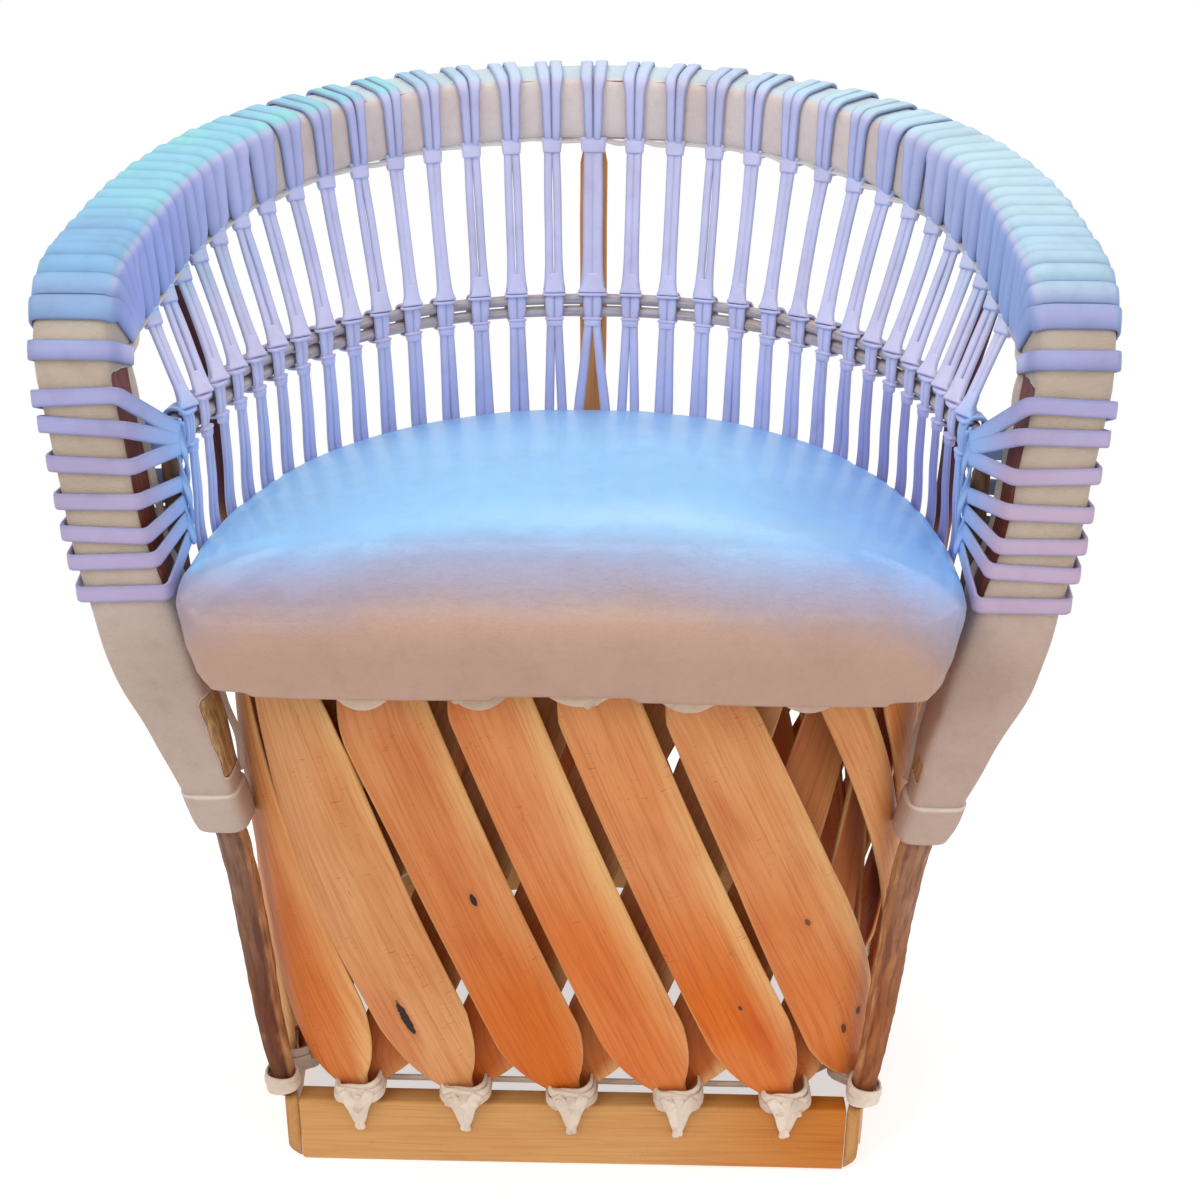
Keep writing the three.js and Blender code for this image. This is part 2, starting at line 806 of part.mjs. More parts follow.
function makeSeat() {
  const panelLow = ringTop + gap;
  add('seat_panel', loft([
    seatLoop(-panelInset, -panelFrontInset, panelLow),
    seatLoop(-panelInset, -panelFrontInset, panelLow + panelThickness - gap),
  ]), boardWood);
  const levels = padLevels.map(([z, grow]) => seatLoop(grow, grow, z));
  const edge = levels.at(-1);
  const edgeHeight = edge[0].z;
  const crown = vec(0, half(seatFront + seatBack), edgeHeight);
  const domed = crownShares.map((share) => edge.map((point) => {
    const inner = crown.clone().lerp(point, share);
    return inner.setZ(lerp(padCrown, edgeHeight, share ** 2));
  }));
  const apron = loft(apronEdge.map(([x, z]) => [
    vec(x, seatFront + apronBackInset, z),
    vec(x, seatFront + apronInset, z),
    vec(x, seatFront + apronTopInset, apronTop),
    vec(x, seatFront + apronTopBackInset, apronTop),
  ]));
  add('seat_pad', join([loft([...levels, ...domed]), apron]), seatLeather);
}

// Canes
const caneTrack = horseshoeTrack({ half: caneHalf, middle: caneMiddle, back: caneBack, end: caneEnd });

function caneSections(shape) {
  return caneTrack.points.map((point, i) => {
    const share = (caneBack - point.y) / (caneBack - caneEnd);
    const distance = clamp(caneTrack.marks[i], overrun, caneTrack.length - overrun);
    const out = caneTrack.outward(distance, overrun);
    return shape(point.clone().setZ(lerp(caneBackHeight, caneEndHeight, share)), out);
  });
}

function makeCanes() {
  for (const [name, way] of [['cane_upper', 1], ['cane_lower', -1]]) {
    const rise = zUp.clone().multiplyScalar(way * caneSpread);
    add(name, loft(caneSections((centre, out) => round(centre.add(rise), out, zUp, caneRadius))), caneWood);
  }
}

// The height of a stick's top under the rail, where the stick's middle line is at y and it reaches
// forwards from there.
function underRail(y, forwards) {
  const middleHeight = armHeight + railSlope * (y - forwards - railMiddle);
  return middleHeight - half(railDepth) * Math.hypot(1, railSlope) - stickClear;
}

// A stick's middle line with its bend and its top.
function raised(line, [bend, top], topHeight) {
  return [...line, [bend, lerp(line.at(-1)[1], topHeight, stickBendShare)], [top, topHeight]];
}

// Sticks that stand outside the drum and carry the rail.
function makeSticks() {
  const flat = (points, place, across, out) => loft(points.map(
    ([away, z]) => rectangle(place(away, z), across, postStickWidth, out, postStickDepth),
  ));
  const centreLine = raised(centreStick, centreStickTop, underRail(centreStickTop[1], half(postStickDepth)));
  const sideLine = raised(sidePostStick, sidePostStickTop, underRail(sidePostY, half(postStickWidth)));
  add('back_post_centre', flat(centreLine, (y, z) => vec(0, y, z), xAxis, yAxis), coreWood);
  for (const side of [-1, 1]) {
    const name = side < 0 ? 'left' : 'right';
    const place = (x, z) => vec(x * side, sidePostY, z);
    add(`back_post_${name}`, flat(sideLine, place, yAxis, xAxis), barkWood);
    const rounds = sideStick.map(([x, z]) => {
      return round(vec(x * side, sideStickY, z), xAxis, yAxis, sideStickRadius);
    });
    add(`side_stick_${name}`, loft(rounds), barkWood);
  }
}

// Lacing: spindles of leather that tie the rail to the canes and the seat
const caneSheath = new Sheath(caneSections((centre, out) => rectangle(
  centre, out, 2 * caneRadius, zUp, 2 * (caneSpread + caneRadius),
)));
const seatTracks = seatRunLevels.map(([, grow]) => horseshoeTrack({
  half: seatHalf + grow, middle: seatMiddle, back: seatBack + grow, end: seatMiddle - overrun,
}));
const railMarks = hideSheath.track.marks;
const railCentre = half(hideSheath.track.length);
const sideMark = railMarks[half(railMarks.length - 1) + quarterSteps];
const railReach = sideMark - railCentre + (railMiddle - lastWrapY) * Math.hypot(1, railSlope);

// A place on the seat's outline at one of the levels of the lacing.
function seatPlace(level, number) {
  const track = seatTracks[level];
  const distance = half(track.length) - (number / spindles) * reachToY(track, lastSeatY);
  return { point: track.at(distance).setZ(seatRunLevels[level][0]), out: track.outward(distance, overrun) };
}

// One spindle: round the rail, down in front of the canes with a band round them, and on past
// the pad to the run under it. Number 0 is at the middle of the back, and the left is negative.
function spindle(number) {
  const wrapWidth = Math.abs(number) < shoulderStart ? pairWidth : shoulderWidth;
  const railDistance = railCentre + (number / spindles) * railReach;
  const caneDistance = half(caneTrack.length) - (number / spindles) * reachToY(caneTrack, lastCaneY);
  const stand = hoopGap + half(laceThickness);
  const wrap = grown(hideSheath.at(railDistance), stand);
  const caneWrap = grown(caneSheath.at(caneDistance), stand);
  const caneOut = caneTrack.outward(caneDistance, overrun);
  const upper = (share) => wrap[2].clone().lerp(caneWrap[1], share);
  const [pad, padLow, run] = seatTracks.map((track, level) => seatPlace(level, number));
  const stops = [
    [wrap[2], wrap[0].clone().sub(wrap[1]).normalize(), spindleTopWidth],
    ...upperShares.map((share) => [upper(share), caneOut, spindleWidth]),
    [caneWrap[1], caneOut, strandWidth],
    [caneWrap[2], caneOut, strandWidth],
    [pad.point, pad.out, spindleWidth],
    [padLow.point, padLow.out, strandWidth],
    [run.point, run.out, spindleFootWidth],
  ];
  const hanging = loft(stops.map(([point, out, width]) => rectangle(
    point, vec(-out.y, out.x, 0), width, out, strandThickness,
  )));
  return [
    hideSheath.hoop(railDistance, wrapWidth, laceThickness),
    caneSheath.hoop(caneDistance, caneBandWidth, laceThickness),
    hanging,
  ];
}

// Spindles from one number to another, joined by the run under the pad's edge.
function spindleRow(first, last) {
  const pieces = [];
  for (let number = first; number <= last; number += 1) {
    pieces.push(...spindle(number));
  }
  const sections = [];
  for (let i = 2 * first; i <= 2 * last; i += 1) {
    const { point, out } = seatPlace(2, half(i));
    sections.push(rectangle(point, out, laceThickness, zUp, seatRunHeight));
  }
  pieces.push(loft(sections));
  return pieces;
}

// The outline of the right arm post in plan at a height, with room for a band.
const posts = hideSheath.sections.slice(-postShares.length);

function postOutline(height) {
  const stand = laceGap + half(laceThickness);
  const cornersAt = (z) => {
    const i = clamp(posts.findIndex((section) => section[0].z < z), 1, posts.length - 1);
    const [above, below] = [posts[i - 1], posts[i]];
    const share = (above[0].z - z) / (above[0].z - below[0].z);
    return grown(above.map((corner, j) => corner.clone().lerp(below[j], share)), stand);
  };
  const low = cornersAt(height - half(bandWidth));
  const high = cornersAt(height + half(bandWidth));
  return {
    outer: Math.max(low[0].x, high[0].x),
    inner: Math.min(low[1].x, high[1].x),
    front: low[0].y,
    back: low[3].y,
  };
}

const gatherX = postOutline(lowBands.at(-1)[0]).inner - gatherClear;
const gatherLace = gatherLaceHeights.map((height) => vec(gatherX, gatherLaceY, height));

// One arm band: round the front of the post and back to where it is gathered behind it.
function armBand([frontHeight, backHeight], gather) {
  const midHeight = half(frontHeight + backHeight);
  const front = postOutline(frontHeight);
  const behind = postOutline(midHeight);
  return band([
    vec(front.outer, front.front, frontHeight),
    vec(front.inner, front.front, frontHeight),
    ...gather.map(([away, y]) => vec(gatherX + away, y, backHeight)),
    vec(Math.max(behind.outer, front.outer), behind.back, midHeight),
  ], bandWidth, laceThickness);
}

// What ties the right arm post: wraps over the crest, bands down the post and the lace that
// gathers them, which runs on along the canes to the last spindle.
function armLacing() {
  const pieces = [];
  const start = railCentre + railReach + half(shoulderWidth + crestWrapWidth) - crestOverlap;
  for (let i = 0; i < crestWraps; i += 1) {
    const lift = ((i + 1) % 2) * crestLift;
    pieces.push(hideSheath.ring(start + i * crestWrapSpacing, crestWrapWidth, laceThickness, lift));
  }
  highBands.forEach((heights) => pieces.push(armBand(heights, highGather)));
  lowBands.forEach((heights) => pieces.push(armBand(heights, lowGather)));
  pieces.push(loft(gatherLace.map((point) => rectangle(
    point, xAxis, gatherLaceThickness, yAxis, gatherLaceWidth,
  ))));
  const caneDistance = half(caneTrack.length) - reachToY(caneTrack, lastCaneY);
  const cane = grown(caneSheath.at(caneDistance), hoopGap + half(laceThickness))[1];
  pieces.push(loft([
    cane.setZ(caneLaceHeight),
    gatherLace[1].clone().setZ(caneLaceHeight),
  ].map((point) => rectangle(point, xAxis, gatherLaceThickness, zUp, gatherLaceWidth))));
  return pieces;
}

function mirrored(geometry) {
  const copy = geometry.clone().scale(-1, 1, 1);
  copy.setIndex([...copy.index.array].reverse());
  return copy;
}

function makeLacing() {
  const arm = join([...spindleRow(backSpindles + 1, spindles), ...armLacing()]);
  add('back_straps_right', join(spindleRow(0, backSpindles)), lace);
  add('back_straps_left', join(spindleRow(-backSpindles, -1)), lace);
  add('arm_straps_right', arm, lace);
  add('arm_straps_left', mirrored(arm), lace);
}

makeBase();
makeRing();
makeSlats();
makeFootLashing();
makeHeadLashing();
makeRail();
makeLegs();
makeSeat();
makeCanes();
makeSticks();
makeLacing();

const bounds = new THREE.Box3().setFromObject(chair);
const middle = bounds.getCenter(vec(0, 0, 0));
chair.position.set(-middle.x, -middle.y, -bounds.min.z);

export default chair;
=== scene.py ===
"""How an equipale chair looks, built over its frame: a drum of crossed split slats tied with rawhide,
a padded leather seat, two canes, and a horseshoe rail in pigskin that leather lacing ties to them.

Sizes and places are in millimetres in the chair's own drawing frame until a mesh is made. The chair
faces -Y, and +X is on the right of someone facing it.
"""

import math

import bpy
import numpy as np
from mathutils import Matrix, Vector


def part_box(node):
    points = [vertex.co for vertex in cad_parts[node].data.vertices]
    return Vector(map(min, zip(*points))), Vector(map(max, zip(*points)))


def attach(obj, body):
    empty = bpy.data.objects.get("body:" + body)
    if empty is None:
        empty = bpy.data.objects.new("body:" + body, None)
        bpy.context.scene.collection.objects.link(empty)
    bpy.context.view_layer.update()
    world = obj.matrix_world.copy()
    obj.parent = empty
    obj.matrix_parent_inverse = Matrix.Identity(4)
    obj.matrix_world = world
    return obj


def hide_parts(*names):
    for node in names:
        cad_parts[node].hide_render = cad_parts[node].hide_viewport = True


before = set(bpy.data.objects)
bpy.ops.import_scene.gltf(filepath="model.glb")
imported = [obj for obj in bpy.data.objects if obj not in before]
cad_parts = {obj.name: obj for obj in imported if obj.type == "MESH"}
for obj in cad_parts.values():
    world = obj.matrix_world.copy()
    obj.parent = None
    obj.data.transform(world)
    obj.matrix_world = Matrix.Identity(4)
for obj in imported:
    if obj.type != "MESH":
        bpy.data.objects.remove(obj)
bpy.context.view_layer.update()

# The drawing frame against the row frame: the front board's face is at BASE_FRONT in the drawing
BASE_FRONT = -220.0
SHIFT = np.array([0.0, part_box("base_front_board")[0].y * 1000 - BASE_FRONT, 0.0])

# The way up, and the two sides by their sign in x
UP = np.array([0.0, 0.0, 1.0])
SIDES = ((-1, "left"), (1, "right"))

# Base
BOARD_HALF = 203.0
BOARD_HEIGHT = 56.0
BOARD_THICKNESS = 18.0
STRIP_THICKNESS = 10.0
BASE_HALF = 236.0
BASE_MIDDLE = -40.0
BASE_BACK = 175.0
FOOT_CORNER = 62.0
BASE_CORNER = 19.0
EDGE_ROUND = 2.2
STRIP_GAP = 0.4
STRIP_STEPS = 160

# Ring under the seat
RING_HALF = 248.0
RING_MIDDLE = -40.0
RING_BACK = 213.0
RING_FRONT = -231.0
RING_FRONT_HALF = 190.0
RING_CORNER = 70.0
RING_THICKNESS = 16.0
RING_TOP = 416.0

# Slats. The places of the first ones are along the foot and the ring, from the middle of the front,
# and PADDLE holds shares of a slat's height and of its width there
SLAT_THICKNESS = 6.0
SLAT_WIDTH = 74.0
SIDE_SLAT_WIDTH = 76.0
SLAT_BOW = 3.2
SLAT_DROP = 5.0
SLAT_CROSS = 6.0
SLAT_FOOT_GAP = 0.9
SLAT_CLEAR = 1.8
SLAT_SPREAD = 15.0
SLAT_SPACE = 4.6
SLAT_SLANT = 0.00095
SLAT_PAIRS = 18
SLAT_SHIFT = 1.85
FOOT_FIRSTS = [0, 79, 158, 226]
HEAD_FIRSTS = [0, 70, 140, 210]
FRONT_TIES = 3
PADDLE = [
    (0, 0.27),
    (0.045, 0.38),
    (0.07, 0.56),
    (0.11, 0.76),
    (0.18, 0.94),
    (0.4, 1),
    (0.82, 0.98),
    (0.93, 0.86),
    (1, 0.6),
]

# Front legs by their middle line from the foot up, with their widths and depths
LEG_PATH = [(214, -212, 56.4), (219, -212, 88), (242, -207, 284), (276, -198, 399.6)]
LEG_WIDTHS = [17, 19, 23, 23]
LEG_DEPTHS = [13, 14, 15, 16]

# Rail and arm posts
RAIL_HALF = 307.0
RAIL_MIDDLE = -80.0
RAIL_BACK = 260.0
RAIL_TOP = 737.0
ARM_HEIGHT = 661.0
RAIL_WIDTH = 50.0
RAIL_DEPTH = 56.0
CREST_RADIUS = 48.0
POST_FRONT = -218.0
POST_DEPTH = 42.0
POST_FOOT = 284.0
POST_FOOT_HALF = 242.0
RAIL_POWER = 6.0

# From the foot of the post up, as shares: height, how far out it stands, its width and its depth
POST_SHARES = [
    (0, 0, 0.64, 0.78),
    (0.051, 0.072, 0.68, 0.81),
    (0.212, 0.297, 0.96, 0.95),
    (0.372, 0.551, 1.16, 1),
    (0.551, 0.739, 1.12, 1),
    (0.69, 0.87, 1.02, 1),
    (0.84, 0.928, 1, 1),
    (1, 1, 1, 1),
]

# Seat
SEAT_NICK = (1.0, -118.0, 489.0)
SEAT_MIDDLE = -150.0
SEAT_HALF = 258.0
SEAT_BACK = 220.0
SEAT_FRONT = -266.0
SEAT_FRONT_HALF = 246.0
SEAT_CORNER = 24.0
PAD_CROWN = 491.0
PAD_EDGE = 472.0
PAD_FOOT = 428.4
ROLL_DROP = 11.0
APRON_FOOT = 405.0
APRON_THICKNESS = 8.0

# Heights on the pad, and how far its sides and its front stand out of the seat's outline there
SIDE_STAND = ([404, 428.4, 434, 444, 462, 472], [-9, -12, -9, -5, 0, -3])
FRONT_STAND = ([404, 424, 438, 448, 456, 461], [-3, -1, 0, -2, -6, -10])

# Canes
CANE_RADIUS = 5.2
CANE_SPREAD = 5.4
CANE_HALF = 262.0
CANE_MIDDLE = -150.0
CANE_BACK = 235.0
CANE_BACK_HEIGHT = 565.0
CANE_END_HEIGHT = 553.0
CANE_END = -166.0

# Sticks outside the drum: how far out, and height
CENTRE_STICK = [(193, 28), (238, 400), (246, 475), (255, 577), (262, 702)]
SIDE_POST_STICK = [(252, 30), (272, 400), (277, 475), (281, 548), (302, 638)]
SIDE_POST_Y = -20.0
SIDE_STICK = [(257.4, 300), (262, 400), (267, 475), (267, 536)]
SIDE_STICK_Y = -168.0
STICK_WIDTH = 25.0
STICK_DEPTH = 14.0
SIDE_STICK_RADIUS = 6.0

# Lacing: SPINDLES on each side of the middle one, by number from it, and BACK_SPINDLES of them on the
# back. SHOULDER holds the numbers between which the turns on the rail close up. Bands go by their
# heights in front and behind, gathers and runs by place
SPINDLES = 15
BACK_SPINDLES = 8
SHOULDER = (6.0, 10.5)
LACE = 2.4
LACE_TURN = 0.4
LAST_WRAP_Y = -135.0
LAST_SEAT_Y = -137.0
LAST_CANE_Y = -157.0
SEAT_RUN = [(462, 2.3), (444, -2), (422.6, -10.4)]
RUN_HEIGHT = 10.0
BAND_WIDTH = 11.0
HIGH_BANDS = [(588, 556), (569, 551), (544, 546)]
LOW_BANDS = [(520, 520), (498, 508), (480, 496), (458, 484)]
HIGH_GATHER = [(255, -179), (257, -170.4)]
LOW_GATHER = [(256, -176), (262, -158.6)]
GATHER_LACE = [(255, -177.6, 479), (255, -177.6, 561)]

# The power of the superellipse that the base, ring, seat, canes and rail follow in plan
OVAL_POWER = 2.15

# How the pad is filled: voxel, how far it starts drawn in and how much of that may stay, pressure,
# frames, and the most that a point may move
FILL_VOXEL = 5.0
FILL_START = 2.0
FILL_SLACK = 0.4
FILL_PRESSURE = 4.0
FILL_FRAMES = 20
FILL_SIDEWAYS = 2.0
FILL_UPWARDS = 4.5


def paint(red, green, blue):
    """A linear colour from 0-255 screen values: ((c/255 + 0.055) / 1.055) ^ 2.4."""
    screen = np.array([red, green, blue]) / 255
    return np.where(screen > 0.04045, ((screen + 0.055) / 1.055) ** 2.4, screen / 12.92)


LAVENDER = paint(212, 208, 240)
# Painted shade on the lacing, low on the back
PERIWINKLE_SHADE = paint(172, 184, 240)
# Painted light on the upward faces of the lacing over the rail
MINT_LIT = paint(136, 200, 220)
MINT_GREEN_LIT = paint(140, 224, 212)
# Painted shade between the turns of lace on the shoulders, and down their outer sides
TEAL_SHADE = paint(66, 126, 168)
OUTER_BLUE_SHADE = paint(104, 160, 214)
# Painted light on the tops of the shoulders, and painted blue light and shade on the shoulders
PALE_BLUE_LIT = paint(196, 218, 230)
SHOULDER_BLUE_LIT_AND_SHADE = paint(124, 172, 216)
# Painted shade on the shoulders' inner faces, painted blue light behind the posts, and painted shade low on
# the right
INNER_BLUE_SHADE = paint(150, 170, 238)
SKY_LIT = paint(146, 190, 246)
DUSK_SHADE = paint(140, 130, 190)
# Painted warm shade on the fronts of the posts
ROSE_SHADE = paint(194, 166, 192)
LILAC_SHADE = paint(166, 164, 214)
HIDE = paint(206, 188, 178)
HIDE_CREAM = paint(198, 179, 160)
HIDE_GREY = paint(190, 168, 154)
# Painted cool light on the hide's upward faces
HIDE_TOP_LIT = paint(186, 214, 226)
# Painted light on the seat: blue light on the crown, deeper blue shade towards the back and the right, a
# highlight, and violet and mauve where the light turns to the warm hide in front
SEAT_BLUE_LIT = paint(148, 206, 252)
SEAT_BLUE_SHADE = paint(112, 164, 238)
SEAT_HIGHLIGHT = paint(186, 228, 255)
SEAT_VIOLET_LIT = paint(155, 154, 184)
SEAT_MAUVE_LIT = paint(160, 141, 150)
SEAT_WARM = paint(184, 147, 128)
SLAT_DEEP = paint(200, 99, 16)
SLAT_PALE = paint(213, 152, 100)
# The pale of the slats' cut edges, which also serves as their painted highlight
SLAT_EDGE_AND_HIGHLIGHT = paint(232, 188, 126)
# Painted shade on the inner slats, behind the outer ones
INNER_SHADE = np.array([0.8, 0.74, 0.7])
BOARD = paint(200, 148, 88)
BOARD_AMBER = paint(190, 114, 36)
BARK = paint(132, 100, 78)
SPLIT = paint(214, 154, 92)
RED_WOOD = paint(140, 70, 44)
# Dark red wood, darkened further by painted shade
MAROON_WOOD_IN_SHADE = paint(84, 34, 44)
CANE = paint(196, 184, 184)
POST_WOOD = paint(206, 172, 122)
CANE_END_CUT = paint(206, 176, 140)
LACE_SHADE = paint(92, 118, 168)
RAWHIDE = paint(230, 213, 194)
RAWHIDE_SHADE = paint(196, 172, 150)
HEAD_TIE_SHADE = np.array([0.86, 0.76, 0.7])

# The bark of the front legs low down and high up, left -1 and right 1
LEG_BROWN = {-1: paint(116, 60, 24), 1: paint(166, 96, 46)}
LEG_GREY = {-1: paint(150, 114, 92), 1: paint(178, 130, 100)}


def unit(vectors):
    """v / |v|."""
    return vectors / np.maximum(np.linalg.norm(vectors, axis=-1, keepdims=True), 1e-9)


def mix(first, second, share):
    """first + (second - first) * share, with share as wide as the points are many."""
    return first + (second - first) * np.asarray(share)[..., None]


def smooth(value, low, high):
    """t * t * (3 - 2t), where t runs from 0 at low to 1 at high."""
    t = np.clip((value - low) / (high - low), 0, 1)
    return t * t * (3 - 2 * t)


def wander(points, pace, seed, waves=6):
    """A value that wanders within about 1 of 0: the mean of sines across seeded directions, each
    sin(2 pi k . p / pace + phase), times 1.6."""
    dice = np.random.default_rng(seed)
    total = 0
    for _ in range(waves):
        way = dice.normal(size=points.shape[-1])
        way *= dice.uniform(0.6, 1.7) / np.linalg.norm(way)
        total = total + np.sin(points @ way * (2 * math.pi / pace) + dice.uniform(0, 2 * math.pi))
    return total / waves * 1.6


def spline(x, marks, values):
    """A smooth curve through values at marks: h00 a + h10 h a' + h01 b + h11 h b', with the slopes
    a' and b' taken from the neighbours on both sides."""
    marks = np.asarray(marks, float)
    values = np.asarray(values, float)
    slopes = np.gradient(values, marks, axis=0)
    i = np.clip(np.searchsorted(marks, x, side="right") - 1, 0, len(marks) - 2)
    step = marks[i + 1] - marks[i]
    t = np.clip((x - marks[i]) / step, 0, 1)
    if values.ndim > 1:
        t = t[..., None]
        step = step[..., None]
    a, b = values[i], values[i + 1]
    return (
        (2 * t**3 - 3 * t**2 + 1) * a
        + (t**3 - 2 * t**2 + t) * step * slopes[i]
        + (3 * t**2 - 2 * t**3) * b
        + (t**3 - t**2) * step * slopes[i + 1]
    )


def lengths(points):
    """How far along a line of points each one is."""
    return np.concatenate([[0], np.cumsum(np.linalg.norm(np.diff(points, axis=0), axis=1))])


def curve(points, count):
    """A smooth line of count points through a few, evenly along it."""
    points = np.asarray(points, float)
    marks = lengths(points)
    return spline(np.linspace(0, marks[-1], count), marks, points)


def rounded_loop(points, radius, steps=5):
    """A closed line with its corners rounded: at each corner (1-t)^2 a + 2t(1-t) corner + t^2 b,
    where a and b lie up to radius from it on the two sides."""
    points = np.asarray(points, float)
    before = np.roll(points, 1, axis=0) - points
    after = np.roll(points, -1, axis=0) - points
    reach = lambda side: np.minimum(radius, 0.45 * np.linalg.norm(side, axis=1))[:, None]
    a = points + unit(before) * reach(before)
    b = points + unit(after) * reach(after)
    t = np.linspace(0, 1, steps)[None, :, None]
    bend = (1 - t) ** 2 * a[:, None] + 2 * t * (1 - t) * points[:, None] + t**2 * b[:, None]
    return bend.reshape(-1, points.shape[1])


class Track:
    """A path in plan, measured along its length."""

    def __init__(self, points, closed):
        self.points = np.vstack([points, points[:1]]) if closed else np.asarray(points)
        self.closed = closed
        self.marks = lengths(self.points)
        self.length = self.marks[-1]

    def at(self, distance):
        place = np.mod(distance, self.length) if self.closed else distance
        return np.stack([np.interp(place, self.marks, axis) for axis in self.points.T], -1)

    def outward(self, distance, spread=4.0):
        """The way outwards: the path's own direction d turned to (d.y, -d.x)."""
        step = self.at(distance + spread) - self.at(distance - spread)
        return unit(np.stack([step[..., 1], -step[..., 0]], -1))


def oval(half, middle, back, front_reach, angle):
    """x = half |sin|^(2/p), y = middle + sign(cos) reach |cos|^(2/p), angle 0 at the back."""
    sine, cosine = np.sin(angle), np.cos(angle)
    reach = np.where(cosine > 0, back - middle, front_reach)
    x = half * np.abs(sine) ** (2 / OVAL_POWER)
    return np.stack([x, middle + np.sign(cosine) * reach * np.abs(cosine) ** (2 / OVAL_POWER)], -1)


def mirrored(points):
    """The same points with x turned to -x."""
    return points * np.array([-1.0] + [1.0] * (points.shape[-1] - 1))


def d_half(half, middle, back, front, front_half, corner):
    """The right half of a D: a straight front, a corner as a quadratic bend, and an oval."""
    share = (front_half / half) ** OVAL_POWER
    front_reach = (middle - front) / (1 - share) ** (1 / OVAL_POWER)
    start = math.pi - math.asin((front_half / half) ** (OVAL_POWER / 2))
    side = oval(half, middle, back, front_reach, np.linspace(start, 0, 160))
    middle_front = np.array([[0, front]])
    if not corner:
        return np.vstack([middle_front, side])
    tip = np.array([front_half, front])
    past = side[np.linalg.norm(side - tip, axis=1) > corner]
    t = np.linspace(0, 1, 24)[:, None]
    bend = (1 - t) ** 2 * np.array([front_half - corner, front]) + 2 * t * (1 - t) * tip + t**2 * past[0]
    return np.vstack([middle_front, bend, past[1:]])


def d_track(half, middle, back, front, front_half, corner):
    """A whole D, from the middle of its front to the right and round."""
    right = d_half(half, middle, back, front, front_half, corner)
    return Track(np.vstack([right, mirrored(right[1:-1][::-1])]), True)


def horseshoe(half, middle, back, end):
    """An open path from its right front end round the back to its left one."""
    arc = oval(half, middle, back, 0, np.linspace(math.pi / 2, 0, 120))
    right = np.vstack([[[half, end]], arc])
    return Track(np.vstack([right, mirrored(right[:-1][::-1])]), False)


def reach_to_y(track, y):
    """How far from the middle of the back a horseshoe's straight end passes y."""
    return track.length / 2 - (y - track.points[0, 1])


def full_turn(count):
    """Even angles round a circle, from 0."""
    return np.linspace(0, 2 * math.pi, count, endpoint=False)


def ring(power, count):
    """Points all round a superellipse of half size 1."""
    return around(full_turn(count), power)


def around(angle, power):
    """Places on a superellipse of half size 1: (sign(c)|c|^(2/p), sign(s)|s|^(2/p))."""
    a, b = np.cos(angle), np.sin(angle)
    return np.sign(a) * np.abs(a) ** (2 / power), np.sign(b) * np.abs(b) ** (2 / power)


def soft_box(width, height, radius, steps=3, across=()):
    """Points round a rectangle with rounded corners: corner centre + radius (cos, sin). Points go
    across its upper face too, at these shares of its half width."""
    width, height = np.atleast_1d(width)[:, None], np.atleast_1d(height)[:, None]
    quarter = np.linspace(0, math.pi / 2, steps)
    angle = np.concatenate([quarter + i * math.pi / 2 for i in range(4)])
    sign_a = np.repeat([1, -1, -1, 1], steps)
    sign_b = np.repeat([1, 1, -1, -1], steps)
    radius = np.minimum(radius, np.minimum(width, height) / 2 * 0.98)
    a = sign_a * (width / 2 - radius) + radius * np.cos(angle)
    b = sign_b * (height / 2 - radius) + radius * np.sin(angle)
    upper = (width / 2 - radius) * np.array(across)
    level = height / 2 + 0 * upper
    return (
        np.concatenate([a[:, :steps], upper, a[:, steps:]], axis=1),
        np.concatenate([b[:, :steps], level, b[:, steps:]], axis=1),
    )


def raised(plan, out, z):
    """Places in plan lifted to their heights, and the level ways out of them."""
    z = z[..., None]
    return np.concatenate([plan, z], -1), np.concatenate([out, 0 * z], -1)


def across_of(out):
    """The level way across an outward one: (x, y) turned to (-y, x)."""
    return np.array([-out[1], out[0], 0])


def sweep(path, side, up, section):
    """Rows of path + a side + b up, with a and b round the section."""
    a, b = section
    return path[:, None] + side[:, None] * a[..., None] + up[:, None] * b[..., None]


def bare_frame(path, normal, closed=False):
    """The way along a line, the way across it and its own up, from a rough up."""
    if closed:
        along = unit(np.roll(path, -1, axis=0) - np.roll(path, 1, axis=0))
    else:
        along = unit(np.gradient(path, axis=0))
    side = unit(np.cross(along, normal))
    return along, side, np.cross(side, along)


# Places across a lace's face, and where round it painted shade darkens its edges
ACROSS = (0.74, 0.36, 0.0, -0.36, -0.74)
EDGE_SHADE_MARKS = np.array([1, 1, 0.8, 0.1, 0, 0, 0, 0.1, 0.8, 1, 1, 1, 0, 0, 0, 1, 1])

# The same for the single laces of the back
SOFT_SHADE_MARKS = EDGE_SHADE_MARKS * 0.4

# The same on the shoulders, where painted shade darkens each turn of lace towards the next one in front
FRONT_SHADE_MARKS = {
    1: np.array([1, 1, 1, 0.75, 0.4, 0.14, 0, 0, 0.3, 1, 1, 1, 0, 0, 0, 1, 1]),
    -1: np.array([1, 1, 0.3, 0, 0, 0.14, 0.4, 0.75, 1, 1, 1, 1, 0, 0, 0, 1, 1]),
}


